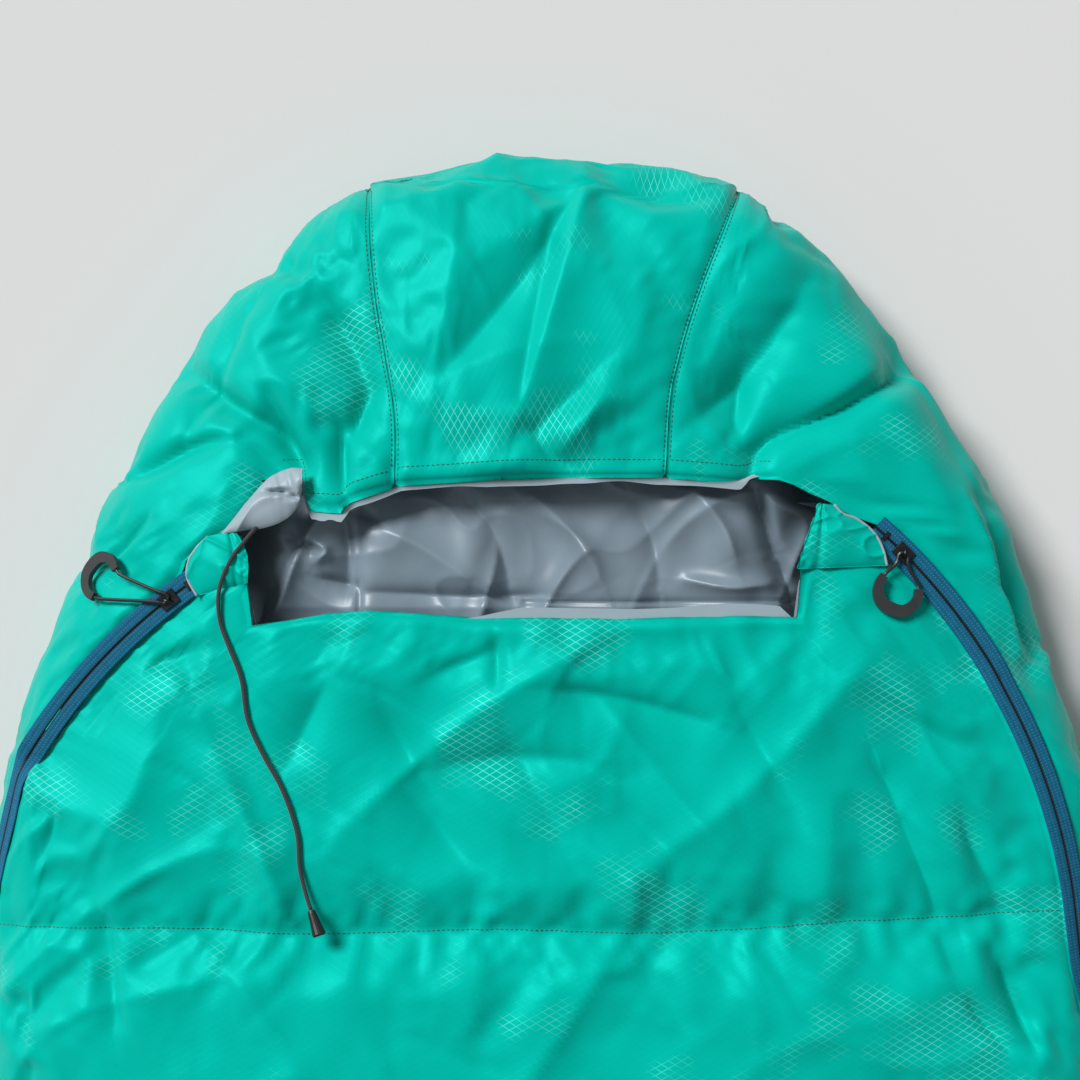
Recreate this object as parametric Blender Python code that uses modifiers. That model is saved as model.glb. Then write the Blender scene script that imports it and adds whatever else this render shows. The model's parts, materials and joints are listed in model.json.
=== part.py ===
"""Mummy sleeping bag: its sewn layers, two side zips and hood drawcord, as separate solids.

X runs across the bag, +Y towards the crown of the hood, +Z up from the surface it lies on.
All soft layers are cut from one family of surfaces, the bag's outer form moved in by an inset.
A place on a surface is a pair: the station along the plan outline, from crown to foot, and the
place round the section, 0 at the top middle, 1 at the right rim, 2 underneath, -1 at the left rim.
"""

import math

import bmesh
import bpy
import numpy as np
from mathutils import Matrix, Vector

NAME = "mummy_sleeping_bag"

# Outer form (metres): half width and Y of the plan outline, crown to foot
OUTLINE = [
    (0.0, 1.050), (0.120, 1.036), (0.178, 1.000), (0.234, 0.946), (0.286, 0.874),
    (0.334, 0.784), (0.374, 0.676), (0.404, 0.582), (0.415, 0.470), (0.408, 0.330),
    (0.374, 0.060), (0.330, -0.260), (0.296, -0.560), (0.268, -0.800), (0.222, -0.950),
    (0.120, -1.018), (0.0, -1.030),
]
EDGE_HEIGHT = 0.090  # thickness where the domed top meets the rounded rim
DOME = 0.035  # extra height of the middle
DOME_RUN = 0.30  # distance in from the rim over which the dome rises
SAMPLES = 12  # outline samples in each span

# Layers, as insets from the outer form
GAP = 0.0003
SHELL = (0.0, 0.0010)
FILL = (0.0018, 0.0338)
LINING = (0.0345, 0.0352)
FLOOR_AROUND = 1.35  # where the side panels meet the floor panel
SEAM_COSINE = abs(math.cos(FLOOR_AROUND * math.pi / 2))
SEAM_HALF = 0.0005  # half the gap between two sewn panels
SEAM_STATION = 0.004  # the same gap along the bag, in stations
POLE = 0.05  # the layers start and end this far, in stations, from the outline's two ends

# Hood and face opening
HOOD_EDGE = 0.812
HOOD_FILL_EDGE = 0.827  # the fill stops short, which leaves the drawcord's tunnel
LEFT_SEAM = [(1.046, -0.034), (0.942, -0.125), (0.856, -0.111), (0.812, -0.111)]
RIGHT_SEAM = [(1.046, 0.034), (0.985, 0.123), (0.928, 0.102), (0.870, 0.087), (0.812, 0.083)]
SEAM_REACH = 0.85  # the hood's seams stay on top of the rim, as a place round the section
LEFT_CHEEK = [(0.812, -0.224), (0.790, -0.240), (0.772, -0.260), (0.758, -0.272)]  # Y, X
RIGHT_CHEEK = [(0.812, 0.200), (0.806, 0.232), (0.798, 0.254)]
FRONT_TOP = [  # X, Y of the chest panel's top edge, with the lip of the face opening
    (-0.270, 0.722), (-0.235, 0.737), (-0.217, 0.739), (-0.211, 0.709), (-0.10, 0.711),
    (0.0, 0.712), (0.10, 0.712), (0.180, 0.713), (0.186, 0.754), (0.210, 0.7575), (0.245, 0.752),
]
CUT_REACH = 0.22  # share of the panel's length over which its columns even out below that edge
FOOT_SEAM = -0.905

# Zips: each runs down an arc from the face opening, then along the rim
ZIP_RADIUS = 0.437
ZIP_HALF = 0.0108  # half the width of the slot between panels
TAPE = (0.0037, 0.0087)  # from the zip's middle line, one side
COIL = (0.0006, 0.0029)
TAPE_THICK = 0.0006
COIL_THICK = 0.0022
ZIP_INSET = 0.0010
ZIP_STEP = 2.0  # degrees
ZIP_ABOVE = 3.6  # degrees of tape above the closed slider
ZIP_PAST = 1.6  # degrees of level tape past the slider's lowest place
RIM_AROUND = 0.97
RIM_RUN = 0.20  # length over which the zip eases from its arc onto the rim
ZIPS = {
    "left": {"centre": (-0.008, 0.379), "start": 127.5, "travel": 18.5, "arc": 24.9, "side": -1},
    "right": {"centre": (-0.053, 0.449), "start": 45.3, "travel": -12.0, "arc": -42.0, "side": 1},
}

# Sliders and pullers
SLIDER_SIZE = (0.0110, 0.0140, 0.0014)
SLIDER_GAP = 0.0016  # from the tape's plane to each plate
POST = (0.0006, 0.0030)
BRIDGE_SPAN = 0.0036
BRIDGE_TOP = 0.0076
BRIDGE_WIRE = 0.0007
PULL_HEIGHT = 0.0048  # the pull cord's centre above the tape's plane
PULL_CORD = 0.0026
LINK_HALF = 0.0022  # half the straight stretch of cord inside the bridge
LINK_SPREAD = 0.0036  # from the hinge's middle to each strand
LINK_OUT = 0.0085  # the strands stay level this far from the hinge
GRIP_THICK = 0.0040
GRIP_LIFT = 0.0030
GRIPS = {  # the grip's middle, and the ways that its closed end and its cord point
    "left": {
        "middle": (-0.3250, 0.7455), "heading": 139.0, "swing": 165.0,
    },
    "right": {
        "middle": (0.2470, 0.7265), "heading": -112.0, "swing": -100.0,
    },
}
GRIP_LINE = [(0.0, 0.0135, 0.0031), (0.006, 0.0150, 0.0032), (0.013, 0.0135, 0.0037),
             (0.019, 0.0080, 0.0044), (0.0205, 0.0, 0.0047)]  # along, across, half width

# Neck tabs beside the face opening, over the zips' top ends: plan corners and piped edge
TABS = {
    "left": [(-0.2605, 0.7285), (-0.2170, 0.7405), (-0.2175, 0.7720), (-0.2445, 0.7700)],
    "right": [(0.1875, 0.7585), (0.2390, 0.7545), (0.2215, 0.7830), (0.1880, 0.7940)],
}
TAB_LAYER = (-0.0038, -0.0022)
PIPING = {
    "left": [(-0.2640, 0.7235), (-0.2625, 0.7400), (-0.2560, 0.7570), (-0.2480, 0.7712)],
    "right": [(0.2425, 0.7500), (0.2410, 0.7600), (0.2350, 0.7710), (0.2240, 0.7840)],
}
PIPING_RADIUS = 0.0008
FLAP = [(-0.2270, 0.7735), (-0.2120, 0.7760), (-0.1740, 0.8090), (-0.1900, 0.8200)]
FLAP_LAYER = (-0.0060, -0.0050)

# Hood drawcord, its lock and its end
CORD = 0.0030
CORD_DEPTH = 0.0045  # of the drawcord below the hood's surface
TUNNEL_Y = 0.8195
CORD_EXIT = (-0.2030, 0.8115)
EYELET_HALF = 0.0006
TUNNEL_TURN = [(-0.1955, 0.8187), (-0.2008, 0.8170)]  # the bend from the tunnel to the eyelet
LOCK = (-0.2030, 0.7985)
LOCK_SIZE = (0.0150, 0.0110, 0.0110)
LOCK_WALL = 0.0016
LOCK_HOLE = 0.0021  # radius of the cord's way through
BUTTON_OUT = 0.0050
SPRING_WIRE = 0.0003
BUTTON_TRAVEL = 0.0020
BUTTON_INNER = 0.0025  # from the lock's middle to the button's inner end
CORD_LIFT = 0.0021  # from the fabric to the tail's middle line
TAIL = [  # X, Y and extra lift of the free cord, from the lock's mouth to the cord end
    (-0.2030, 0.7905, 0.0), (-0.2046, 0.7840, 0.0005), (-0.2110, 0.7757, 0.0034),
    (-0.2190, 0.7660, 0.0040), (-0.2254, 0.7577, 0.0044), (-0.2326, 0.7433, 0.0043),
    (-0.2362, 0.7282, 0.0030), (-0.2350, 0.7102, 0.0), (-0.2290, 0.6936, 0.0),
    (-0.2196, 0.6698, 0.0), (-0.2146, 0.6403, 0.0), (-0.2030, 0.6151, 0.0),
    (-0.1894, 0.5906, 0.0), (-0.1793, 0.5611, 0.0), (-0.1771, 0.5359, 0.0),
    (-0.1722, 0.5160, 0.0004), (-0.1690, 0.5065, 0.0012),
]
CORD_END = [(0.0, 0.0025), (0.002, 0.0030), (0.010, 0.0039), (0.0175, 0.0050), (0.019, 0.0042)]
END_BORE = (0.0017, 0.008)
END_RISE = 0.13  # slope at which the end lies on the fabric

# Draft tubes inside the zips and hang loops at the foot
DRAFT_INSET = 0.0428
DRAFT_RADIUS = 0.0050
LOOP_X = 0.085
LOOP_OUT = -1.0485
LOOP_WIDE = 0.013

GREEN = (0.0, 0.45, 0.38)
GREY = (0.17, 0.23, 0.27)
LIGHT_GREY = (0.42, 0.50, 0.55)
BLUE = (0.01, 0.10, 0.20)
BLACK = (0.02, 0.02, 0.022)
WHITE = (0.80, 0.80, 0.78)
STEEL = (0.55, 0.56, 0.58)


# --- The outer form -------------------------------------------------------------------------

def catmull_rom(points, samples, mirrored=False):
    """Smooth curve through points. mirrored makes its two ends cross the Y axis squarely."""
    points = np.asarray(points, float)
    before, after = 2 * points[0] - points[1], 2 * points[-1] - points[-2]
    if mirrored:
        flip = np.array([-1.0, 1.0])
        before, after = points[1] * flip, points[-2] * flip
    p = np.vstack([before, points, after])
    f = np.linspace(0, 1, samples, endpoint=False)[:, None]
    spans = []
    for a, b, c, d in zip(p[:-3], p[1:-2], p[2:-1], p[3:]):
        spans.append(
            0.5 * (2 * b + (c - a) * f + (2 * a - 5 * b + 4 * c - d) * f**2
                   + (3 * b - a - 3 * c + d) * f**3)
        )
    return np.vstack(spans + [points[-1:]])


PLAN = catmull_rom(OUTLINE, SAMPLES, mirrored=True)
STATION = np.linspace(0, len(OUTLINE) - 1, len(PLAN))
_run = np.gradient(PLAN, axis=0)
PLAN_NORMAL = np.stack([-_run[:, 1], _run[:, 0]], axis=1)
PLAN_NORMAL /= np.linalg.norm(PLAN_NORMAL, axis=1)[:, None]
PLAN_NORMAL[0] = (0, 1)
PLAN_NORMAL[-1] = (0, -1)


def station_at(y):
    return np.interp(-np.asarray(y, float), -PLAN[:, 1], STATION)


def around_at(x, y):
    """The place round the top for plan coordinates."""
    half = np.interp(station_at(y), STATION, PLAN[:, 0])
    return np.arcsin(np.clip(np.asarray(x, float) / half, -1, 1)) / (math.pi / 2)


def rim_distance(x, y, rim):
    """Plan distance from each point to the rim, a polyline closed by its mirror image."""
    line = np.vstack([rim, (rim * (-1, 1))[::-1]])
    start, run = line[:-1], np.diff(line, axis=0)
    p = np.stack([np.ravel(x), np.ravel(y)], axis=1)
    along = ((p[:, None] - start) * run).sum(2) / np.maximum((run**2).sum(1), 1e-12)
    nearest = start + np.clip(along, 0, 1)[..., None] * run
    return np.linalg.norm(p[:, None] - nearest, axis=2).min(1).reshape(np.shape(x))


def surface(station, around, inset=0.0):
    """Points of the outer form moved in by inset, for arrays of places."""
    station, around = np.broadcast_arrays(np.asarray(station, float), np.asarray(around, float))
    rim = PLAN - inset * PLAN_NORMAL
    angle = around * math.pi / 2
    x = np.interp(station, STATION, rim[:, 0]) * np.sin(angle)
    y = np.interp(station, STATION, rim[:, 1])
    near = rim_distance(x, y, rim)
    radius = EDGE_HEIGHT / 2 - inset
    bulge = radius * np.sqrt(1 - (1 - np.minimum(near / radius, 1)) ** 2)
    dome = DOME * (1 - (1 - np.minimum(near / DOME_RUN, 1)) ** 2)
    z = np.where(np.cos(angle) >= 0, EDGE_HEIGHT / 2 + bulge + dome, EDGE_HEIGHT / 2 - bulge)
    return np.stack([x, y, z], axis=-1)


def surface_normal(station, around, inset=0.0):
    step = 0.01
    across = surface(station, around + step, inset) - surface(station, around - step, inset)
    along = surface(station + step, around, inset) - surface(station - step, around, inset)
    normal = np.cross(along, across)
    return normal / np.linalg.norm(normal, axis=-1)[..., None]


def top_point(x, y, lift=0.0):
    """A point at plan coordinates, lift above the top."""
    return surface(station_at(y), around_at(x, y)) + np.array([0, 0, lift])


# --- Object helpers -------------------------------------------------------------------------

def material(name, colour, roughness, metallic=0.0):
    made = bpy.data.materials.new(name)
    made.use_nodes = True
    shader = made.node_tree.nodes["Principled BSDF"]
    shader.inputs["Base Color"].default_value = (*colour, 1.0)
    shader.inputs["Roughness"].default_value = roughness
    shader.inputs["Metallic"].default_value = metallic
    return made


def add_object(name, data, colour, roughness=0.6, metallic=0.0):
    if data.materials:
        data.materials.clear()
    data.materials.append(material(name, colour, roughness, metallic))
    made = bpy.data.objects.new(name, data)
    PARTS.objects.link(made)
    return made


def mesh_from(name, vertices, faces):
    mesh = bpy.data.meshes.new(name)
    mesh.from_pydata([tuple(v) for v in vertices], [], faces)
    work = bmesh.new()
    work.from_mesh(mesh)
    bmesh.ops.remove_doubles(work, verts=work.verts, dist=1e-6)
    bmesh.ops.recalc_face_normals(work, faces=work.faces)
    work.to_mesh(mesh)
    work.free()
    return mesh


def slab_faces(rows, cols):
    """Faces of a closed slab whose outer grid comes first, then its inner grid."""
    faces, back = [], rows * cols
    for i in range(rows - 1):
        for j in range(cols - 1):
            a, b = i * cols + j, (i + 1) * cols + j
            faces.append((a, b, b + 1, a + 1))
            faces.append((back + a, back + a + 1, back + b + 1, back + b))
    border = [(0, j) for j in range(cols)]
    border += [(i, cols - 1) for i in range(1, rows)]
    border += [(rows - 1, j) for j in range(cols - 2, -1, -1)]
    border += [(i, 0) for i in range(rows - 2, 0, -1)]
    ring = [i * cols + j for i, j in border]
    for a, b in zip(ring, ring[1:] + ring[:1]):
        # Both sides of a seam split their walls along the same diagonal, so that they can't cross
        if a < b:
            faces += [(a, b, back + b), (a, back + b, back + a)]
        else:
            faces += [(a, b, back + a), (b, back + b, back + a)]
    return faces


def layer_panel(name, station, around, layer, colour, roughness=0.6):
    """A closed slab between two insets, over a grid of places."""
    station, around = np.broadcast_arrays(station, around)
    points = np.concatenate([surface(station, around, inset).reshape(-1, 3) for inset in layer])
    faces = slab_faces(*station.shape)
    return add_object(name, mesh_from(name, points, faces), colour, roughness)


def plan_panel(name, corners, layer, colour, rows=4, cols=5):
    """A closed slab over four plan corners, given in order round the patch."""
    a, b, c, d = (np.array(p) for p in corners)
    u, v = np.meshgrid(np.linspace(0, 1, cols), np.linspace(0, 1, rows))
    u, v = u[..., None], v[..., None]
    plan = (a * (1 - u) + b * u) * (1 - v) + (d * (1 - u) + c * u) * v
    place = station_at(plan[..., 1]), around_at(plan[..., 0], plan[..., 1])
    return layer_panel(name, *place, layer, colour)


def strip(name, points, normals, near, far, low, high, colour, roughness=0.6):
    """A bar of rectangular section along points. near and far are sideways, low and high up."""
    points, normals = np.asarray(points, float), np.asarray(normals, float)
    along = np.gradient(points, axis=0)
    across = np.cross(along, normals)
    across /= np.linalg.norm(across, axis=1)[:, None]
    near, far = np.broadcast_to(near, len(points)), np.broadcast_to(far, len(points))
    rings = [
        points + across * side[:, None] + normals * up
        for side, up in ((near, low), (far, low), (far, high), (near, high))
    ]
    vertices = np.stack(rings, axis=1).reshape(-1, 3)
    faces = [(3, 2, 1, 0)]
    for i in range(len(points) - 1):
        for k in range(4):
            a, b = 4 * i + k, 4 * i + (k + 1) % 4
            faces.append((a, b, b + 4, a + 4))
    last = 4 * (len(points) - 1)
    faces.append((last, last + 1, last + 2, last + 3))
    return add_object(name, mesh_from(name, vertices, faces), colour, roughness)


def tube(name, points, radius, colour, roughness=0.7):
    """A filled round tube along a line of points, as a curve object."""
    curve = bpy.data.curves.new(name, "CURVE")
    curve.dimensions = "3D"
    curve.bevel_depth = radius
    curve.bevel_resolution = 2
    curve.render_resolution_u = 0
    curve.use_fill_caps = True
    spline = curve.splines.new("POLY")
    spline.points.add(len(points) - 1)
    for target, point in zip(spline.points, points):
        target.co = (*point, 1.0)
    return add_object(name, curve, colour, roughness)


def as_mesh(made):
    """The curve object's mesh in a new object, welded, in place of the curve."""
    bpy.context.view_layer.update()
    depsgraph = bpy.context.evaluated_depsgraph_get()
    mesh = bpy.data.meshes.new_from_object(made.evaluated_get(depsgraph))
    work = bmesh.new()
    work.from_mesh(mesh)
    bmesh.ops.remove_doubles(work, verts=work.verts, dist=1e-6)
    bmesh.ops.recalc_face_normals(work, faces=work.faces)
    work.to_mesh(mesh)
    work.free()
    name, place = made.name, made.matrix_world.copy()
    bpy.data.objects.remove(made)
    solid = bpy.data.objects.new(name, mesh)
    PARTS.objects.link(solid)
    solid.name = name
    solid.matrix_world = place
    return solid


def cutter(made):
    """Moves an object into the cutters' collection."""
    for holder in list(made.users_collection):
        holder.objects.unlink(made)
    CUTTERS.objects.link(made)
    made.hide_render = True
    made.display_type = "WIRE"
    return made


def box(name, size, centre=(0, 0, 0), colour=BLACK, roughness=0.45, metallic=0.0):
    work = bmesh.new()
    bmesh.ops.create_cube(work, size=1.0)
    bmesh.ops.scale(work, vec=size, verts=work.verts)
    bmesh.ops.translate(work, vec=centre, verts=work.verts)
    mesh = bpy.data.meshes.new(name)
    work.to_mesh(mesh)
    work.free()
    return add_object(name, mesh, colour, roughness, metallic)


def rod(name, radius, depth, centre=(0, 0, 0), turn=None, sides=16, colour=BLACK):
    """A cylinder along Z, or turned by a matrix."""
    work = bmesh.new()
    place = Matrix.Translation(centre) @ (turn or Matrix.Identity(4))
    bmesh.ops.create_cone(work, cap_ends=True, segments=sides, radius1=radius, radius2=radius,
                          depth=depth, matrix=place)
    mesh = bpy.data.meshes.new(name)
    work.to_mesh(mesh)
    work.free()
    return add_object(name, mesh, colour)


def combine(made, tool, operation):
    """Adds a Boolean modifier whose tool goes to the cutters."""
    step = made.modifiers.new(operation.lower(), "BOOLEAN")
    step.operation = operation
    step.object = cutter(tool)
    step.solver = "EXACT"
    return made


def bevelled(made, width, segments=2):
    step = made.modifiers.new("bevel", "BEVEL")
    step.width = width
    step.segments = segments
    step.limit_method = "ANGLE"
    return made


def revolve(name, profile, colour, roughness=0.5, steps=16):
    """A turned solid about its local Z, from a closed profile of (radius, height) pairs."""
    mesh = bpy.data.meshes.new(name)
    edges = [(i, (i + 1) % len(profile)) for i in range(len(profile))]
    mesh.from_pydata([(r, 0, z) for r, z in profile], edges, [])
    made = add_object(name, mesh, colour, roughness)
    turn = made.modifiers.new("screw", "SCREW")
    turn.steps = steps
    turn.render_steps = steps
    turn.use_merge_vertices = True
    turn.merge_threshold = 0.00001
    return made


# --- Zips -----------------------------------------------------------------------------------

class Zip:
    """One zip's line: an arc in a tilted plane, on which the slider runs, then the rim."""

    def __init__(self, name):
        spec = ZIPS[name]
        self.side = spec["side"]
        self.way = math.copysign(1, spec["travel"])
        self.start = spec["start"]
        self.travel = spec["travel"]
        plan = [self.flat_point(spec["centre"], a) for a in (self.start, self.start + self.travel)]
        ends = [surface(station_at(p[1]), around_at(*p), ZIP_INSET) for p in plan]
        chord = ends[1] - ends[0]
        level = math.hypot(chord[0], chord[1])
        slope = chord[2] / level
        run = Vector((chord[0] / level, chord[1] / level, slope)).normalized()
        self.axis = run.cross(Vector((-chord[1], chord[0], 0))).normalized()
        height = ends[0][2] + slope * (
            (spec["centre"][0] - ends[0][0]) * chord[0] + (spec["centre"][1] - ends[0][1]) * chord[1]
        ) / level
        self.centre = Vector((*spec["centre"], height))
        east = Vector((1, 0, 0))
        self.east = (east - east.dot(self.axis) * self.axis).normalized()
        self.north = self.axis.cross(self.east)
        self.lay_line(spec)

    @staticmethod
    def flat_point(centre, degrees):
        turn = math.radians(degrees)
        return (centre[0] + ZIP_RADIUS * math.cos(turn), centre[1] + ZIP_RADIUS * math.sin(turn))

    def arc_point(self, degrees):
        turn = math.radians(degrees)
        return self.centre + ZIP_RADIUS * (math.cos(turn) * self.east + math.sin(turn) * self.north)

    def arc_tangent(self, degrees):
        """The way the slider runs when it opens the zip."""
        turn = math.radians(degrees)
        return self.way * (math.cos(turn) * self.north - math.sin(turn) * self.east)

    def lay_line(self, spec):
        """The middle line's points and normals, and the panel edges beside it."""
        steps = int(abs(self.travel) / ZIP_STEP)
        angles = [self.start - self.way * ZIP_ABOVE * (1 - k / 2) for k in range(2)]
        lowest = self.start + self.travel + self.way * ZIP_PAST
        angles += list(np.linspace(self.start, lowest, steps + 1))
        points = [tuple(self.arc_point(a)) for a in angles]
        normals = [tuple(self.axis)] * len(points)
        arc = np.arange(self.start + self.travel + 4 * self.way,
                        self.start + spec["arc"] + 0.1 * self.way, 4 * self.way)
        plan = np.array([self.flat_point(spec["centre"], a) for a in arc])
        around = list(around_at(plan[:, 0], plan[:, 1]))
        heights = list(plan[:, 1])
        last_y, last_around = heights[-1], around[-1]
        easing = np.arange(last_y - 0.03, last_y - RIM_RUN, -0.03)
        straight = np.linspace(easing[-1] - 0.03, FOOT_SEAM + 0.01, 16)
        for y in np.append(easing, straight):
            ease = min((last_y - y) / RIM_RUN, 1)
            ease = ease * ease * (3 - 2 * ease)
            heights.append(y)
            around.append(last_around + (self.side * RIM_AROUND - last_around) * ease)
        station = station_at(heights)
        around = np.array(around)
        self.points = np.vstack([points, surface(station, around, ZIP_INSET)])
        self.normals = np.vstack([normals, surface_normal(station, around, ZIP_INSET)])
        on_arc = self.points[: len(points)]
        self.line_y = self.points[:, 1]
        self.line_around = np.concatenate([around_at(on_arc[:, 0], on_arc[:, 1]), around])
        step = 0.004
        stations = station_at(self.line_y)
        over = (surface(stations, self.line_around + step)
                - surface(stations, self.line_around - step)) / (2 * step)
        along = np.gradient(self.points, axis=0)
        across = np.cross(along, self.normals)
        across /= np.linalg.norm(across, axis=1)[:, None]
        self.per_metre = 1 / np.abs((over * across).sum(1))

    def panel_edge(self, y, margin):
        """The place round the section, margin metres beside the zip at Y; plus is to the right."""
        order = np.argsort(self.line_y)
        edge = self.line_around + margin * self.per_metre
        return np.interp(y, self.line_y[order], edge[order])

    def slider_frame(self):
        """Matrix at the closed slider: X across, Y down the zip, Z out."""
        along = self.arc_tangent(self.start)
        across = along.cross(self.axis)
        place = self.arc_point(self.start)
        return Matrix((
            (across.x, along.x, self.axis.x, place.x),
            (across.y, along.y, self.axis.y, place.y),
            (across.z, along.z, self.axis.z, place.z),
            (0, 0, 0, 1),
        ))


def smooth_line(points, count):
    """Evenly read points from a smooth curve through the given ones."""
    dense = catmull_rom(points, 16)
    length = np.concatenate([[0], np.cumsum(np.linalg.norm(np.diff(dense, axis=0), axis=1))])
    wanted = np.linspace(0, length[-1], count)
    return np.stack([np.interp(wanted, length, dense[:, k]) for k in range(3)], axis=1)


def rounded(points):
    """The points of a route with its corners cut off three times over."""
    points = np.asarray(points, float)
    for _ in range(3):
        start, end = points[:-1], points[1:]
        cut = np.stack([0.75 * start + 0.25 * end, 0.25 * start + 0.75 * end], axis=1)
        points = np.vstack([points[:1], cut.reshape(-1, 3), points[-1:]])
    return points


def zip_parts(name, line):
    for side, sign in (("outer", -line.side), ("inner", line.side)):
        for part, span, thick, colour in (
            ("tape", TAPE, TAPE_THICK, BLUE), ("coil", COIL, COIL_THICK, BLACK)
        ):
            near, far = (sign * span[0], sign * span[1])
            strip(f"{name}_zip_{part}_{side}", line.points, line.normals, near, far,
                  -thick / 2, thick / 2, colour)
    zip_stops(name, line)


def zip_stops(name, line):
    """The moulded stops above the slider and the box at the foot."""
    place = line.arc_point(line.start - line.way * 2.3)
    along = line.arc_tangent(line.start - line.way * 2.3)
    turn = Matrix.Translation(place) @ along.to_track_quat("Y", "Z").to_matrix().to_4x4()
    top = box(f"{name}_zip_top_stop", (0.0072, 0.0030, 0.0008), (0, 0, 0.0018))
    top.matrix_world = turn
    foot = Vector(line.points[-1])
    back = Vector(line.points[-2]) - foot
    turn = Matrix.Translation(foot) @ (-back).to_track_quat("Y", "Z").to_matrix().to_4x4()
    end = box(f"{name}_zip_foot_stop", (0.0080, 0.0060, 0.0040), (0, 0.0036, 0))
    end.matrix_world = turn


def slider(name, line):
    """Two plates joined by a thin post that runs between the coils, with a bridge on top."""
    wide, long, thick = SLIDER_SIZE
    plate_z = SLIDER_GAP + thick / 2
    made = bevelled(box(f"{name}_slider", (wide, long, thick), (0, 0, plate_z)), 0.0004, 1)
    lower = box(f"{name}_slider_lower", (wide, long, thick), (0, 0, -plate_z))
    post = box(f"{name}_slider_post", (POST[0], POST[1], 2 * plate_z), (0, -long / 2 + POST[1], 0))
    frame = line.slider_frame()
    turn = math.radians(GRIPS[name]["swing"])
    ahead = frame.to_3x3().inverted() @ Vector((math.cos(turn), math.sin(turn), 0))
    ahead = Vector((ahead.x, ahead.y, 0)).normalized()
    arch = [
        ahead * BRIDGE_SPAN * math.cos(a)
        + Vector((0, 0, SLIDER_GAP + BRIDGE_WIRE + (BRIDGE_TOP - SLIDER_GAP) * math.sin(a)))
        for a in np.linspace(0, math.pi, 9)
    ]
    bridge = as_mesh(tube(f"{name}_slider_bridge", arch, BRIDGE_WIRE, BLACK))
    for tool in (lower, post, bridge):
        combine(made, tool, "UNION")
    for piece in (made, lower, post, bridge):
        piece.matrix_world = frame
    return frame


def puller(name, frame):
    """A U-shaped grip lying on the fabric, and its cord through the slider's bridge."""
    spec = GRIPS[name]
    x, y = spec["middle"]
    up = Vector(surface_normal(station_at(y), around_at(x, y)))
    turn = math.radians(spec["heading"])
    out = Vector((math.cos(turn), math.sin(turn), 0))
    out = (out - out.dot(up) * up).normalized()
    over = out.cross(up)
    middle = Vector(top_point(x, y)) + GRIP_LIFT * up
    half = [(-across, along, wide) for along, across, wide in GRIP_LINE]
    whole = half + [(-a, b, w) for a, b, w in reversed(half[:-1])]
    line = catmull_rom(whole, 4)
    backset = GRIP_LINE[2][0]
    points = [middle + over * a + out * (b - backset) for a, b, _ in line]
    normals = [tuple(up)] * len(points)
    strip(f"{name}_pull_grip", [tuple(p) for p in points], normals, -line[:, 2], line[:, 2],
          -GRIP_THICK / 2, GRIP_THICK / 2, BLACK, 0.5)
    away = (points[0] - points[1]).normalized(), (points[-1] - points[-2]).normalized()
    ends = points[0] + away[0] * 2 * GAP, points[-1] + away[1] * 2 * GAP
    swing = math.radians(spec["swing"])
    forward = Vector((math.cos(swing), math.sin(swing), 0))
    axis = forward.cross(Vector((0, 0, 1)))
    hinge = frame.translation + Vector((0, 0, PULL_HEIGHT))
    first = math.copysign(1, (ends[0] - hinge).dot(axis))
    halves = [
        [end, end + way * 0.003, hinge + axis * side * LINK_SPREAD + forward * LINK_OUT,
         hinge + axis * side * LINK_SPREAD + forward * LINK_SPREAD / 2,
         hinge + axis * side * LINK_HALF]
        for end, way, side in zip(ends, away, (first, -first))
    ]
    route = halves[0] + halves[1][::-1]
    tube(f"{name}_pull_cord", smooth_line(rounded(route), 32), PULL_CORD / 2, BLACK)
    print(f"{name}_puller hinge {tuple(round(v, 5) for v in hinge)} axis "
          f"{tuple(round(v, 5) for v in axis)} middle {tuple(round(v, 5) for v in middle)}")


# --- Sewn layers ----------------------------------------------------------------------------

def stations_between(y_top, y_foot, count):
    """Stations from one Y to another, even along the outline."""
    return np.linspace(station_at(y_top), station_at(y_foot), count)


HOOD_ROWS = np.append(
    np.linspace(POLE, station_at(HOOD_FILL_EDGE), 7), station_at(HOOD_EDGE) - SEAM_STATION
)
BODY_ROWS = np.concatenate([
    stations_between(HOOD_EDGE, 0.770, 5)[:-1], stations_between(0.770, 0.24, 17)[:-1],
    stations_between(0.24, FOOT_SEAM, 9),
])
BODY_ROWS[0] += SEAM_STATION
BODY_ROWS[-1] -= SEAM_STATION
FOOT_ROWS = np.linspace(station_at(FOOT_SEAM) + SEAM_STATION, len(OUTLINE) - 1 - POLE, 8)


def seam_gap(station):
    """Half a seam's gap, as a place round the section."""
    half = np.interp(station, STATION, PLAN[:, 0])
    return SEAM_HALF / np.maximum(half * math.pi / 2 * SEAM_COSINE, SEAM_HALF)


def floor_seam(station):
    """Where the top and side panels end, beside the floor panel."""
    return FLOOR_AROUND - seam_gap(station)


def seam_place(seam, station):
    """The place round the hood of a seam given by Y and X."""
    y = np.interp(station, STATION, PLAN[:, 1])
    pairs = np.array(seam)
    x = np.interp(-y, -pairs[:, 0], pairs[:, 1])
    return np.clip(around_at(x, y), -SEAM_REACH, SEAM_REACH)


def cheek_edge(line, cheek, y, margin):
    """The side panel's inner edge: beside the face opening, then beside the zip."""
    pairs = np.array(cheek)
    opening = around_at(np.interp(y, pairs[::-1, 0], pairs[::-1, 1]), y)
    zip_side = line.panel_edge(y, margin)
    beside = np.clip((pairs[-1, 0] - y) / 0.02, 0, 1)
    return opening * (1 - beside) + zip_side * beside


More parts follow.
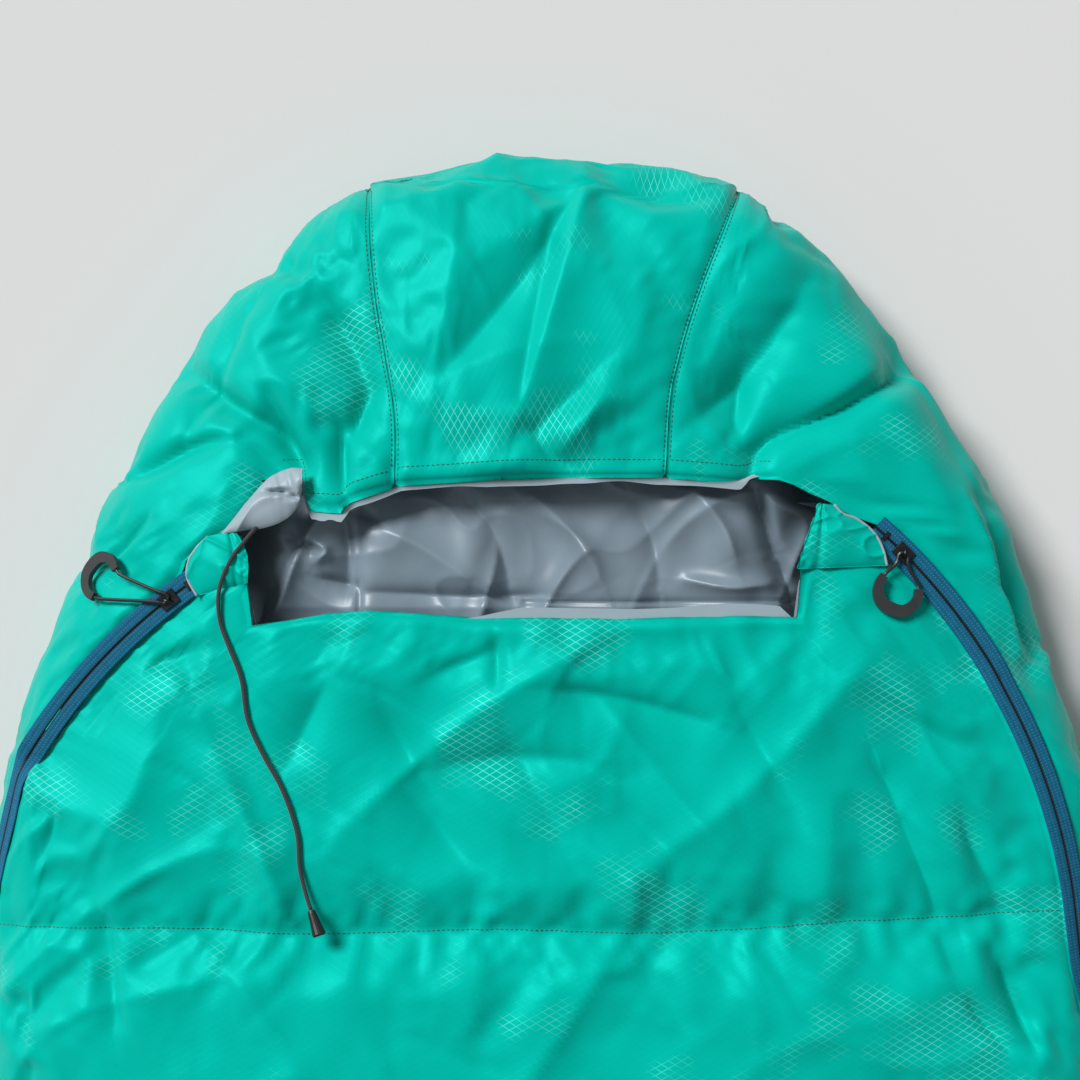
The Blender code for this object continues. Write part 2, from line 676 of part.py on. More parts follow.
def hood_panels():
    station = HOOD_ROWS[:, None]
    left, right = seam_place(LEFT_SEAM, station), seam_place(RIGHT_SEAM, station)
    edge, gap = floor_seam(station), seam_gap(station)
    spans = {
        "hood_shell_left": (-edge, left - gap, 7),
        "hood_shell_centre": (left + gap, right - gap, 5),
        "hood_shell_right": (right + gap, edge, 7),
    }
    columns = []
    for name, (start, end, cols) in spans.items():
        columns.append(start + (end - start) * np.linspace(0, 1, cols)[None])
        layer_panel(name, station, columns[-1], SHELL, GREEN, 0.35)
    around = np.hstack(columns)
    layer_panel("hood_lining", station, around, LINING, GREY, 0.5)
    layer_panel("hood_insulation", station[:-1], around[:-1], FILL, WHITE, 0.9)


def side_panels(lines):
    for name, cheek in (("left", LEFT_CHEEK), ("right", RIGHT_CHEEK)):
        line = lines[name]
        stations = BODY_ROWS[:, None]
        y = np.interp(stations, STATION, PLAN[:, 1])
        inner = cheek_edge(line, cheek, y, line.side * ZIP_HALF)
        outer = line.side * floor_seam(stations)
        share = np.linspace(0, 1, 6)[None]
        around = inner + (outer - inner) * share
        layer_panel(f"side_shell_{name}", stations, around, SHELL, GREEN, 0.35)
        layer_panel(f"side_insulation_{name}", stations, around, FILL, WHITE, 0.9)
        layer_panel(f"side_lining_{name}", stations, around, LINING, GREY, 0.5)


def floor_panels():
    station = np.concatenate([HOOD_ROWS, BODY_ROWS, FOOT_ROWS])[:, None]
    start = FLOOR_AROUND + seam_gap(station)
    around = start + (4 - 2 * start) * np.linspace(0, 1, 7)[None]
    layer_panel("bottom_shell", station, around, SHELL, GREEN, 0.4)
    layer_panel("back_insulation", station, around, FILL, WHITE, 0.9)
    layer_panel("back_lining", station, around, LINING, GREY, 0.5)


def front_panels(lines):
    """The chest and leg panel between the two zips, whose top edge is the lip."""
    pairs = np.array(FRONT_TOP)
    share = (pairs[:, 0] - pairs[0, 0]) / (pairs[-1, 0] - pairs[0, 0])
    fall = np.concatenate([np.linspace(0, CUT_REACH, 10)[:-1], np.linspace(CUT_REACH, 1, 9)])
    fall = fall[:, None]
    y = pairs[None, :, 1] + (FOOT_SEAM + 0.001 - pairs[None, :, 1]) * fall
    start = lines["left"].panel_edge(y, ZIP_HALF)
    end = lines["right"].panel_edge(y, -ZIP_HALF)
    around = start + (end - start) * share[None]
    cut = around_at(pairs[:, 0], y[0])
    cut[[0, -1]] = around[0, [0, -1]]
    around = around + (cut - around[0])[None] * np.clip(1 - fall / CUT_REACH, 0, 1)
    station = station_at(y)
    layer_panel("front_shell", station, around, SHELL, GREEN, 0.35)
    layer_panel("front_insulation", station, around, FILL, WHITE, 0.9)
    layer_panel("front_lining", station, around, LINING, GREY, 0.5)


def foot_panels():
    station = FOOT_ROWS[:, None]
    around = floor_seam(station) * np.linspace(-1, 1, 13)[None]
    layer_panel("foot_shell", station, around, SHELL, GREEN, 0.35)
    layer_panel("foot_insulation", station, around, FILL, WHITE, 0.9)
    layer_panel("foot_lining", station, around, LINING, GREY, 0.5)


def face_trim():
    """Neck tabs with their piping, the turned-out facing, and the two bound edges."""
    for name, corners in TABS.items():
        plan_panel(f"{name}_neck_tab", corners, TAB_LAYER, GREEN)
        line = [top_point(x, y, PIPING_RADIUS - TAB_LAYER[1]) for x, y in PIPING[name]]
        tube(f"{name}_tab_piping", smooth_line(line, 10), PIPING_RADIUS, LIGHT_GREY)
    plan_panel("hood_facing", FLAP, FLAP_LAYER, LIGHT_GREY)
    bound_edge("hood_edge_binding", np.linspace(-0.193, 0.178, 12), HOOD_EDGE - GAP, -0.0012)
    bound_edge("chest_lip_binding", np.linspace(-0.184, 0.158, 12), 0.7145, 0.0012)


def bound_edge(name, xs, y, deep):
    """A thin wall that closes a panel's edge from the shell down to the lining."""
    line = [top_point(x, y + deep / 2, -(SHELL[0] + LINING[1]) / 2) for x in xs]
    height = (LINING[1] - SHELL[0]) / 2 - 0.001
    strip(name, line, [(0, 0, 1)] * len(line), -abs(deep) / 2, abs(deep) / 2, -height, height,
          LIGHT_GREY)


def draft_tubes(lines):
    """Padded tubes inside the bag, behind each zip."""
    for name, line in lines.items():
        y = np.linspace(0.66, -0.84, 28)
        around = line.panel_edge(y, 0.0)
        points = surface(station_at(y), around, DRAFT_INSET)
        tube(f"{name}_draft_tube", points, DRAFT_RADIUS, GREY)


def hang_loops():
    """Two webbing loops sewn to the foot end."""
    for name, x in (("left", -LOOP_X), ("right", LOOP_X)):
        rim = surface(station_at(-1.02), math.copysign(1, x))
        start_y = np.interp(abs(x), PLAN[::-1, 0][:30], PLAN[::-1, 1][:30]) - 0.0008
        turn = [(start_y, 0.004), (LOOP_OUT + 0.006, 0.0045), (LOOP_OUT, 0.0)]
        line = [(x, y, rim[2] + up) for y, up in turn]
        line += [(x, y, rim[2] - up) for y, up in turn[-2::-1]]
        points = smooth_line(line, 11)
        along = np.gradient(points, axis=0)
        normals = np.cross(along, (1, 0, 0))
        normals /= np.linalg.norm(normals, axis=1)[:, None]
        strip(f"hang_loop_{name}", points, normals, -LOOP_WIDE / 2, LOOP_WIDE / 2,
              -0.0006, 0.0006, BLACK)


# --- Drawcord -------------------------------------------------------------------------------

def exit_height():
    return float(top_point(*CORD_EXIT, -CORD_DEPTH)[2])


def drawcord():
    """The part in the hood's tunnel, then the free tail with its end."""
    tunnel = [top_point(x, TUNNEL_Y, -CORD_DEPTH) for x in np.linspace(0.165, -0.180, 8)]
    end_y = CORD_EXIT[1] + EYELET_HALF + 4 * GAP
    tunnel += [top_point(x, y, -CORD_DEPTH) for x, y in TUNNEL_TURN]
    tunnel += [(CORD_EXIT[0], end_y + step, exit_height()) for step in (0.0018, 0.0009, 0.0)]
    tube("hood_drawcord", smooth_line(tunnel, 30), CORD / 2, BLACK)
    first = [(CORD_EXIT[0], CORD_EXIT[1] + EYELET_HALF, exit_height()), (*LOCK, exit_height()),
             (LOCK[0], LOCK[1] - LOCK_SIZE[1] / 2, exit_height())]
    tail = [top_point(x, y, CORD_LIFT + lift) for x, y, lift in TAIL]
    tail[0] = (TAIL[0][0], TAIL[0][1], exit_height())
    tail[1] = (TAIL[1][0], TAIL[1][1], exit_height() + 0.001)
    route = smooth_line(first + tail, 46)
    tube("drawcord_tail", route, CORD / 2, BLACK)
    cord_end(route[-1], route[-1] - route[-2])
    length = np.linalg.norm(np.diff(route, axis=0), axis=1).sum()
    print("drawcord tail", round(float(length), 4), "exit", CORD_EXIT, exit_height())


def cord_end(start, along):
    """A tapered moulded end, bored to take the cord."""
    bore, deep = END_BORE
    profile = [(bore, 0.0)] + [(r, -z) for z, r in CORD_END]
    profile += [(0.0001, -CORD_END[-1][0]), (0.0001, -deep), (bore, -deep)]
    made = revolve("cord_end", profile, BLACK)
    way = Vector(along).normalized()
    way.z = END_RISE
    start = Vector(start) + way.normalized() * GAP
    made.matrix_world = Matrix.Translation(start) @ (-way).to_track_quat("Z", "Y").to_matrix().to_4x4()


def cord_lock():
    """A lock whose sprung button grips the cord: body, button and spring, on its side."""
    wide, deep, _ = LOCK_SIZE
    across = Matrix.Rotation(math.pi / 2, 4, "X")
    sideways = Matrix.Rotation(math.pi / 2, 4, "Y")
    centre = (*LOCK, exit_height())
    body = bevelled(box("cord_lock_body", LOCK_SIZE), 0.0015)
    cavity = rod("cord_lock_cavity", deep / 2 - LOCK_WALL, wide, (LOCK_WALL, 0, 0), sideways)
    combine(body, cavity, "DIFFERENCE")
    through = rod("cord_lock_through", LOCK_HOLE, 0.03, (0.0005, 0, 0), across)
    combine(body, through, "DIFFERENCE")
    radius = deep / 2 - LOCK_WALL - GAP
    length = wide / 2 + BUTTON_OUT + BUTTON_INNER
    middle = wide / 2 + BUTTON_OUT - length / 2
    button = rod("cord_lock_button", radius, length, (middle, 0, 0), sideways)
    slot = box("cord_lock_slot", (2 * LOCK_HOLE + BUTTON_TRAVEL, 0.03, 2 * LOCK_HOLE),
               (0.0005 + BUTTON_TRAVEL / 2, 0, 0))
    combine(button, slot, "DIFFERENCE")
    start = -wide / 2 + LOCK_WALL + GAP
    end = -BUTTON_INNER - GAP
    turns, radius = 2, 0.0022
    coil = [
        (start + 0.0004 + (end - start - 0.0008) * s, radius * math.cos(a), radius * math.sin(a))
        for s, a in ((k / 20, 2 * math.pi * turns * k / 20) for k in range(21))
    ]
    spring = tube("cord_lock_spring", coil, SPRING_WIRE, STEEL, 0.3)
    for piece in (body, cavity, through, button, slot, spring):
        piece.matrix_world = Matrix.Translation(centre)
    ring = [(0.0032, EYELET_HALF), (0.0032, -EYELET_HALF), (0.0019, -EYELET_HALF),
            (0.0019, EYELET_HALF)]
    eyelet = revolve("drawcord_eyelet", ring, STEEL, 0.3)
    eyelet.matrix_world = Matrix.Translation((*CORD_EXIT, exit_height())) @ across


# --- Build ----------------------------------------------------------------------------------

def collection(name):
    made = bpy.data.collections.new(name)
    bpy.context.scene.collection.children.link(made)
    return made


for _old in list(bpy.data.objects):
    bpy.data.objects.remove(_old)
PARTS = collection(NAME)
CUTTERS = collection("cutters")

LINES = {name: Zip(name) for name in ZIPS}
floor_panels()
side_panels(LINES)
hood_panels()
front_panels(LINES)
foot_panels()
face_trim()
draft_tubes(LINES)
hang_loops()
for _name, _line in LINES.items():
    zip_parts(_name, _line)
    _frame = slider(_name, _line)
    puller(_name, _frame)
    print(f"{_name} slider hinge {tuple(round(v, 5) for v in _line.centre)} "
          f"axis {tuple(round(v, 5) for v in _line.axis)} at "
          f"{tuple(round(v, 5) for v in _frame.translation)}")
drawcord()
cord_lock()
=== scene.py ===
"""The looks of a mummy sleeping bag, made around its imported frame.

The fabric lies over the bag's outer form: a grid of places for each sewn panel, folded where the bag
lies in folds, settled as slack cloth, and pulled in at its seams. Metres, +Z up, +Y to the crown.
A place on the form is a station, from 0 at the crown to the foot, and a place around its section,
where 0 is the top middle, 1 the right rim and -1 the left one.
"""

import json
import math

import bmesh
import bpy
import numpy as np
from mathutils import Matrix, Vector


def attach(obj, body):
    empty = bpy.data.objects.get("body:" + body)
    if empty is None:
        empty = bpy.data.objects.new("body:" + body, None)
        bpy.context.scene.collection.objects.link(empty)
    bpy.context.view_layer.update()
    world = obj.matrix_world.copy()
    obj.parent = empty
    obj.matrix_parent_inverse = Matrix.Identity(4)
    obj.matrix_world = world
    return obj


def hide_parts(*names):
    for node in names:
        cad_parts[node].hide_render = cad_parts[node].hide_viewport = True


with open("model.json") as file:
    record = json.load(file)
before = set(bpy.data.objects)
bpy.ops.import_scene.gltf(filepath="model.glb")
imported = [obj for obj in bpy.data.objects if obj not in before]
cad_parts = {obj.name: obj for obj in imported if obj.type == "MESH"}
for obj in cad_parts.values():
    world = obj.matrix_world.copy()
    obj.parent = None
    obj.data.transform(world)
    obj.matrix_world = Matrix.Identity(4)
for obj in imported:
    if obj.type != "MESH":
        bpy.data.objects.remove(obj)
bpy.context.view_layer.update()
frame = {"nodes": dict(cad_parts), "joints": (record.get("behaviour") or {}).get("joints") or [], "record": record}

# --- Sizes shared with the frame ------------------------------------------------------------

# Half width and Y of the plan outline, crown to foot
OUTLINE = [
    (0.0, 1.050), (0.120, 1.036), (0.178, 1.000), (0.234, 0.946), (0.286, 0.874),
    (0.334, 0.784), (0.374, 0.676), (0.404, 0.582), (0.415, 0.470), (0.408, 0.330),
    (0.374, 0.060), (0.330, -0.260), (0.296, -0.560), (0.268, -0.800), (0.222, -0.950),
    (0.120, -1.018), (0.0, -1.030),
]
EDGE_HEIGHT = 0.090  # thickness at the rounded rim
DOME = 0.035  # how much thicker the middle is, and over what distance from the rim it rises
DOME_RUN = 0.30
SAMPLES = 12  # points of the plan curve between two outline points
FLOOR_AROUND = 1.35  # the place around the section of the seam with the underside
POLE = 0.05  # the panels stop this far in stations from the crown's and the foot's ends
HOOD_EDGE = 0.812
LEFT_SEAM = [(1.0280, -0.1325), (0.985, -0.1300), (0.942, -0.1253), (0.900, -0.1180),
             (0.8556, -0.1109), (0.8088, -0.1109)]  # Y, X
RIGHT_SEAM = [(1.0284, 0.1411), (0.9852, 0.1231), (0.955, 0.1110), (0.9276, 0.1015),
              (0.900, 0.0935), (0.870, 0.0871), (0.8160, 0.0835)]
SEAM_TOP = (1.028, 1.040)  # between these Y values a seam goes over the rim to the floor panel
CUT_REACH = 0.22  # columns of the front cover lean to the lip's ends over this share of its length

# Edges round the face opening as they lie
HOOD_LIP = [  # X, Y of the hood's edge
    (-0.224, 0.812), (-0.198, 0.814), (-0.1800, 0.8160), (-0.1730, 0.7900), (-0.1500, 0.7885),
    (-0.1440, 0.7960), (-0.1070, 0.8080), (-0.0350, 0.8124), (0.0080, 0.8138), (0.0835, 0.8138),
    (0.1360, 0.8100), (0.1420, 0.8110), (0.1500, 0.8138), (0.1650, 0.8120), (0.2000, 0.8120),
]
LEFT_EDGE = [  # Y, X of the left side panel's edge over the turned-out facing, to the zip
    (0.8120, -0.1980), (0.8102, -0.1994), (0.7958, -0.2110), (0.7829, -0.2218),
    (0.7728, -0.2354), (0.7650, -0.2460), (0.7550, -0.2610),
]
RIGHT_EDGE = [  # Y, X of the right side panel's edge, to the zip
    (0.8120, 0.1650), (0.8095, 0.1735), (0.8016, 0.1890), (0.7970, 0.2010), (0.7915, 0.2070),
    (0.7865, 0.2170), (0.7786, 0.2400), (0.7700, 0.2530), (0.7606, 0.2650),
]
LIP = [  # X, Y of the chest panel's top edge
    (-0.2700, 0.7220), (-0.2350, 0.7370), (-0.2165, 0.7385), (-0.2125, 0.7080), (-0.1890, 0.7116),
    (-0.1580, 0.7170), (-0.1290, 0.7190), (-0.0900, 0.7165), (-0.0500, 0.7135), (0.0, 0.7135),
    (0.0600, 0.7130), (0.1100, 0.7150), (0.1500, 0.7150), (0.1785, 0.7140), (0.1815, 0.7480),
    (0.1900, 0.7600), (0.2095, 0.7577), (0.2210, 0.7570), (0.2450, 0.7510),
]
FOOT_SEAM = -0.905
SEAM_HALF = 0.0005
EDGE_GAP = 0.0002  # the long covers stop this far short of the foot's seam
CROWN_Y = OUTLINE[0][1]
ZIP_RADIUS = 0.437
RISE_WIDTH = 0.020  # the fabric follows the zip's own height within this distance
ZIP_SHOWN = 0.0086  # how far from its middle the fabric lets the tape show
ZIP_INSET = 0.0010  # the zip's middle line lies this deep in the form
ZIP_ABOVE = 3.6  # degrees of the arc above the slider's place
RIM_AROUND = 0.97  # the place around the section of the zip along the rim
RIM_RUN = 0.20  # the zip goes over from its arc to the rim in this length
ZIPS = {
    "left": {"centre": (-0.008, 0.379), "start": 127.5, "travel": 18.5, "arc": 24.9, "side": -1},
    "right": {"centre": (-0.053, 0.449), "start": 45.3, "travel": -12.0, "arc": -42.0, "side": 1},
}

# Neck tabs: plan lines of the piped edge and of the inner edge, from the seam up
TAB_OUTER = {
    "left": [(-0.2520, 0.7289), (-0.2592, 0.7418), (-0.2585, 0.7534), (-0.2527, 0.7634),
             (-0.2448, 0.7721)],
    "right": [(0.2419, 0.7505), (0.2390, 0.7627), (0.2326, 0.7742), (0.2210, 0.7836),
              (0.2102, 0.7879), (0.2038, 0.7944)],
}
TAB_INNER = {
    "left": [(-0.2153, 0.7382), (-0.2146, 0.7512), (-0.2167, 0.7620), (-0.2210, 0.7706),
             (-0.2254, 0.7757)],
    "right": [(0.1771, 0.7483), (0.1800, 0.7590), (0.1836, 0.7699), (0.1885, 0.7830),
              (0.1930, 0.7951)],
}
FLAP_UPPER = [(-0.2354, 0.7728), (-0.2250, 0.7855), (-0.2140, 0.7990), (-0.2010, 0.8130),
              (-0.1865, 0.8200), (-0.1757, 0.8200)]
FLAP_LOWER = [(-0.2354, 0.7728), (-0.2182, 0.7757), (-0.2030, 0.7778), (-0.1886, 0.7836),
              (-0.1793, 0.7930), (-0.1757, 0.8052)]

# Drawcord: its thickness and depth at the eyelet, its lock, and its free tail's route
CORD = 0.0030
CORD_DEPTH = 0.0045
CORD_EXIT = (-0.2030, 0.8115)
EYELET_HALF = 0.0006
LOCK = (-0.2030, 0.7985)
LOCK_DEEP = 0.0110
CORD_LIFT = 0.0021  # its middle, above the form
TUNNEL_DROP = 0.022
TAIL = [  # X, Y and the height above CORD_LIFT
    (-0.2030, 0.7905, 0.0), (-0.2046, 0.7840, 0.0005), (-0.2110, 0.7757, 0.0034),
    (-0.2190, 0.7660, 0.0040), (-0.2254, 0.7577, 0.0044), (-0.2326, 0.7433, 0.0043),
    (-0.2362, 0.7282, 0.0030), (-0.2350, 0.7102, 0.0), (-0.2290, 0.6936, 0.0),
    (-0.2196, 0.6698, 0.0), (-0.2146, 0.6403, 0.0), (-0.2030, 0.6151, 0.0),
    (-0.1894, 0.5906, 0.0), (-0.1793, 0.5611, 0.0), (-0.1771, 0.5359, 0.0),
    (-0.1722, 0.5160, 0.0004), (-0.1690, 0.5065, 0.0012),
]

# --- Looks ----------------------------------------------------------------------------------

# Grid spacings
FINE = 0.0032  # where the fabric is seen close up
FINE_TO = 0.28  # down to this Y
COARSE = 0.012

# Quilting seams across the body (Y), and how the fabric dips into them
QUILT = [0.489, 0.263, 0.037, -0.189, -0.415, -0.641, -0.867]
QUILT_DEPTH = 0.0050
QUILT_WIDTH = 0.012
PUCKER = 0.0012  # height and pitch of the puckers beside a seam
PUCKER_PITCH = 0.009
PUCKER_STRETCH = 0.3  # puckers are longer across a seam than along it
QUILT_PUCKER_REACH = 0.011

# Depth and width of the dips beside the other seams, and the puckers there
FLOOR_DIP = (0.0040, 0.008)
HOOD_DIP = (0.0026, 0.006)
ZIP_DIP = (0.0008, 0.005)
EDGE_PUCKER = 0.00096
PUCKER_REACH = 0.012
HOOD_ROLL = 0.008  # radius of the roll at the hood's edge
CHEST_ROLL = 0.009

# Hard pieces that lie on the fabric
RUN_STEPS = 10  # places of a slider along its run
PRESS_CELL = 0.0025  # they are gathered into cells of this size
PRESS_REACH = 0.030
PRESS_FLAT = 0.0022  # the fabric lies flat this far beside a hard piece, then rises
PRESS_SLOPE = 0.5
PRESS_GAP = 0.0010
PRESS_SOFT = 0.0012  # how gradually the fabric turns down to a hard piece

# The covers' edges and fill
EDGE_TURN = 0.0035  # how far an edge is turned under
SHELL_INSET = 0.0003
FREE_WIDTH = 0.026  # the cloth moves freely beyond about this far from a sewn edge
CALM_WIDTH = 0.008  # wrinkles fade out this close to a sewn edge

# Stitches
STITCH_PITCH = 0.0036
STITCH_LENGTH = 0.0025
STITCH_HALF = 0.00042
STITCH_SIDES = 6
STITCH_PROFILE = [(-0.5, 0), (-0.42, 0.7), (0, 1), (0.42, 0.7), (0.5, 0)]  # place, thickness
STITCH_PROUD = 0.4
STITCH_READ = 0.001  # a stitch's way is read this far before and after it
STITCH_BREAK = 0.03  # a line of stitches ends at a jump longer than this

# The covers' shapes
QUILT_WAVE = 0.004  # how far a quilting seam strays from straight
QUILT_HELD = 0.006  # the cloth is held this close to a quilting seam
HELD_WIDTH = 0.010  # and this close to a sewn edge
FLOOR_GAP = 0.0006  # least height of the fabric above the floor
SIDE_COLUMNS = 90
HOOD_COLUMNS = 34  # columns of a side cover between the hood's seam and the opening's corner
SEAM_STITCH = 0.0022  # stitches beside the hood's seams
TUNNEL_DEPTH = 0.013  # stitches of the drawcord's tunnel, from the hood's edge
SEAM_CLOSED = 0.25  # share of the frame's seam gap that shows
FRONT_COLUMNS = 250
FACE_HALF = 0.205  # half width of the face opening
GATHER = 0.0024  # height and pitch of the gathers under the chest's lip
GATHER_PITCH = 0.018
LIP_TOP = 0.722  # Y of the front cover's top before it follows the lip
LIP_REACH = 0.12  # rows of the front cover follow the lip's shape down to here
PULL_REACH = 0.022  # rows of the hood follow its edge's shape up to here
CORNER_ROOM = (0.1, 0.8)  # shares of the hood's side that the column above the corner stays in
CORNER_ROWS = 6  # a side panel's edges go over from the hood's seam to the zip in these rows
CORNER_COLUMNS = 5  # the hood's edge begins to roll in these columns from the corner
OPENING_BLEND = 0.012  # a side panel goes over from the opening's edge to the zip in this length
BOTTOM_DROP = 0.002
LINING_DEPTH = 0.0345
LIP_ROLL = 0.0098  # how far below the form an edge has rolled
PATCH_GRID = 60  # rows and columns of a neck tab or the facing, and how far its edges turn down
PATCH_TURN = 0.0025

# Wrinkles all over the shell, in metres: pitch of the features, seed and height of the swells;
# pitch, turn, stretch, seed and height of the creases; and for the small wrinkles also the pitch of
# the patches they show in, and the least they show
SWELLS = [(0.060, 3, 0.0028), (0.034, 4, 0.0014)]
BROAD_CREASES = [(0.085, 0.75, 2.2, 11, 0.0045), (0.065, -0.85, 2.4, 12, 0.0035)]
WRINKLES = [
    (0.030, 0.9, 2.2, 5, 0.00275, 0.09, -1), (0.024, -0.7, 2.4, 7, 0.00225, 0.08, -1),
    (0.013, 1.5, 2.0, 9, 0.001125, 0.07, 0),
]
WRINKLE_DROP = 0.0025  # keeps the wrinkled shell about level with the form

FOLD_GAIN = 2.0  # how much deeper the shell's folds are than listed
FOLD_CREASE = 1.25  # 2 is a round fold, 1 a sharp crease
# Folds of the shell: line in plan, height (a hollow is below zero), width to the left and to
# the right of the line, the last three in millimetres
FOLDS = [
    ([(0.028, 1.043), (0.015, 0.985), (-0.003, 0.920), (-0.021, 0.859)], 7, 14, 20),
    ([(0.021, 1.024), (-0.021, 0.956), (-0.075, 0.888)], -6, 16, 16),
    ([(0.003, 0.989), (-0.010, 0.928), (-0.021, 0.870)], -6, 12, 12),
    ([(-0.068, 0.978), (-0.078, 0.913), (-0.086, 0.856)], 3, 12, 16),
    ([(0.027, 0.881), (-0.010, 0.847)], -7, 9, 14),
    ([(-0.010, 0.847), (0.001, 0.830), (0.019, 0.820)], -5, 8, 8),
    ([(0.037, 0.870), (0.022, 0.848), (0.008, 0.834)], 4, 10, 12),
    ([(0.055, 1.027), (0.120, 1.017)], -4, 7, 10),
    ([(-0.158, 0.938), (-0.143, 0.910), (-0.130, 0.877)], -10, 9, 15),
    ([(-0.130, 0.877), (-0.138, 0.856), (-0.142, 0.841)], -7, 8, 10),
    ([(-0.149, 0.848), (-0.147, 0.805)], -7, 4, 6),
    ([(-0.202, 0.874), (-0.186, 0.841), (-0.174, 0.818)], -6, 5, 8),
    ([(0.181, 0.942), (0.145, 0.892), (0.109, 0.856)], -7, 12, 18),
    ([(0.238, 0.892), (0.195, 0.863), (0.152, 0.841)], 6, 12, 16),
    ([(0.274, 0.899), (0.217, 0.866), (0.159, 0.841), (0.145, 0.816)], -11, 7, 16),
    ([(0.141, 0.884), (0.134, 0.848)], -7, 7, 10),
    ([(-0.266, 0.895), (-0.222, 0.863), (-0.195, 0.846), (-0.179, 0.822)], -8, 6, 15),
    ([(-0.2146, 0.838), (-0.1915, 0.817)], -4, 5, 7),
    ([(0.007, 0.663), (0.058, 0.654), (0.114, 0.639)], -5, 8, 14),
    ([(-0.086, 0.671), (-0.042, 0.689)], -4, 8, 10),
    ([(-0.073, 0.609), (-0.021, 0.614), (0.024, 0.612)], -4, 9, 14),
    ([(-0.037, 0.697), (-0.036, 0.668)], -4, 3, 7),
    ([(-0.287, 0.690), (-0.352, 0.611)], -5, 12, 18),
    ([(-0.330, 0.539), (-0.287, 0.611)], 5, 14, 18),
    ([(-0.158, 0.668), (-0.186, 0.611)], -5, 10, 16),
    ([(-0.122, 0.654), (-0.100, 0.618), (-0.078, 0.582)], -5, 10, 16),
    ([(-0.107, 0.596), (-0.057, 0.539)], -4, 12, 16),
    ([(-0.035, 0.640), (0.008, 0.560)], -4, 12, 20),
    ([(0.051, 0.582), (0.109, 0.524)], -4, 12, 18),
    ([(0.130, 0.661), (0.174, 0.582)], -5, 10, 18),
    ([(0.296, 0.568), (0.325, 0.510)], -4, 10, 14),
    ([(0.238, 0.654), (0.296, 0.618)], -4, 10, 14),
    ([(-0.320, 0.496), (-0.309, 0.424)], -6, 6, 12),
    ([(0.314, 0.798), (0.339, 0.744), (0.361, 0.690)], -6, 6, 12),
    ([(0.300, 0.800), (0.325, 0.742), (0.345, 0.690)], 4, 8, 6),
    ([(0.225, 0.960), (0.262, 0.905), (0.300, 0.830)], -4, 8, 14),
    ([(-0.292, 0.784), (-0.315, 0.763), (-0.343, 0.738)], -6, 5, 10),
    ([(-0.215, 0.945), (-0.240, 0.900), (-0.262, 0.850)], -5, 8, 14),
    ([(-0.300, 0.820), (-0.270, 0.835), (-0.235, 0.842)], -7, 5, 11),
    ([(0.326, 0.465), (0.348, 0.406)], -6, 5, 8),
    ([(0.300, 0.438), (0.327, 0.406)], -5, 5, 8),
    ([(-0.287, 0.677), (-0.251, 0.694)], -6, 4, 7),
    ([(-0.395, 0.614), (-0.345, 0.663), (-0.320, 0.690)], -4, 3, 6),
    ([(-0.150, 0.560), (-0.060, 0.640), (0.020, 0.690)], 4, 10, 22),
    ([(0.060, 0.530), (0.150, 0.600), (0.230, 0.690)], 4, 12, 24),
    ([(-0.250, 0.640), (-0.215, 0.570), (-0.190, 0.515)], 4, 8, 16),
    ([(0.240, 0.600), (0.265, 0.540), (0.280, 0.505)], -4, 6, 14),
]

# Colours, linear red, green and blue
GREEN = (0.0002, 0.505, 0.408)
GREEN_DEEP = (0.0002, 0.400, 0.318)
# painted glint: the bright cyan given to the lattice lines in patches, standing in for the highlights they catch
LATTICE_GLINT = (0.160, 0.920, 0.820)
THREAD = (0.004, 0.130, 0.105)
GREY = (0.255, 0.340, 0.410)
LIGHT_GREY = (0.335, 0.420, 0.480)
BLUE = (0.002, 0.070, 0.130)
DOT_BLUE = (0.040, 0.270, 0.440)
BLACK = (0.012, 0.013, 0.014)
CHARCOAL = (0.028, 0.031, 0.033)
STEEL = (0.55, 0.56, 0.58)
WHITE = (0.80, 0.80, 0.78)
FLOOR = (0.700, 0.700, 0.700)

# Diamonds of the ripstop lattice (metres): long and short diagonal
LATTICE_SIZE = (0.0094, 0.0054)


# --- The outer form -------------------------------------------------------------------------

def catmull_rom(points, samples, mirrored=False):
    """Smooth curve through points. mirrored makes its two ends cross the Y axis squarely."""
    points = np.asarray(points, float)
    before, after = 2 * points[0] - points[1], 2 * points[-1] - points[-2]
    if mirrored:
        flip = np.array([-1.0, 1.0])
        before, after = points[1] * flip, points[-2] * flip
    p = np.vstack([before, points, after])
    f = np.linspace(0, 1, samples, endpoint=False)[:, None]
    spans = []
    for a, b, c, d in zip(p[:-3], p[1:-2], p[2:-1], p[3:]):
        spans.append(
            0.5 * (2 * b + (c - a) * f + (2 * a - 5 * b + 4 * c - d) * f**2
                   + (3 * b - a - 3 * c + d) * f**3)
        )
    return np.vstack(spans + [points[-1:]])


PLAN = catmull_rom(OUTLINE, SAMPLES, mirrored=True)
STATION = np.linspace(0, len(OUTLINE) - 1, len(PLAN))
PLAN_RUN = np.gradient(PLAN, axis=0)
PLAN_NORMAL = np.stack([-PLAN_RUN[:, 1], PLAN_RUN[:, 0]], axis=1)
PLAN_NORMAL /= np.linalg.norm(PLAN_NORMAL, axis=1)[:, None]
PLAN_NORMAL[0] = (0, 1)
PLAN_NORMAL[-1] = (0, -1)


def station_at(y):
    """The station at Y."""
    return np.interp(-np.asarray(y, float), -PLAN[:, 1], STATION)


def around_at(x, y):
    """The place round the top for plan coordinates."""
    half = np.interp(station_at(y), STATION, PLAN[:, 0])
    return np.arcsin(np.clip(np.asarray(x, float) / half, -1, 1)) / (math.pi / 2)


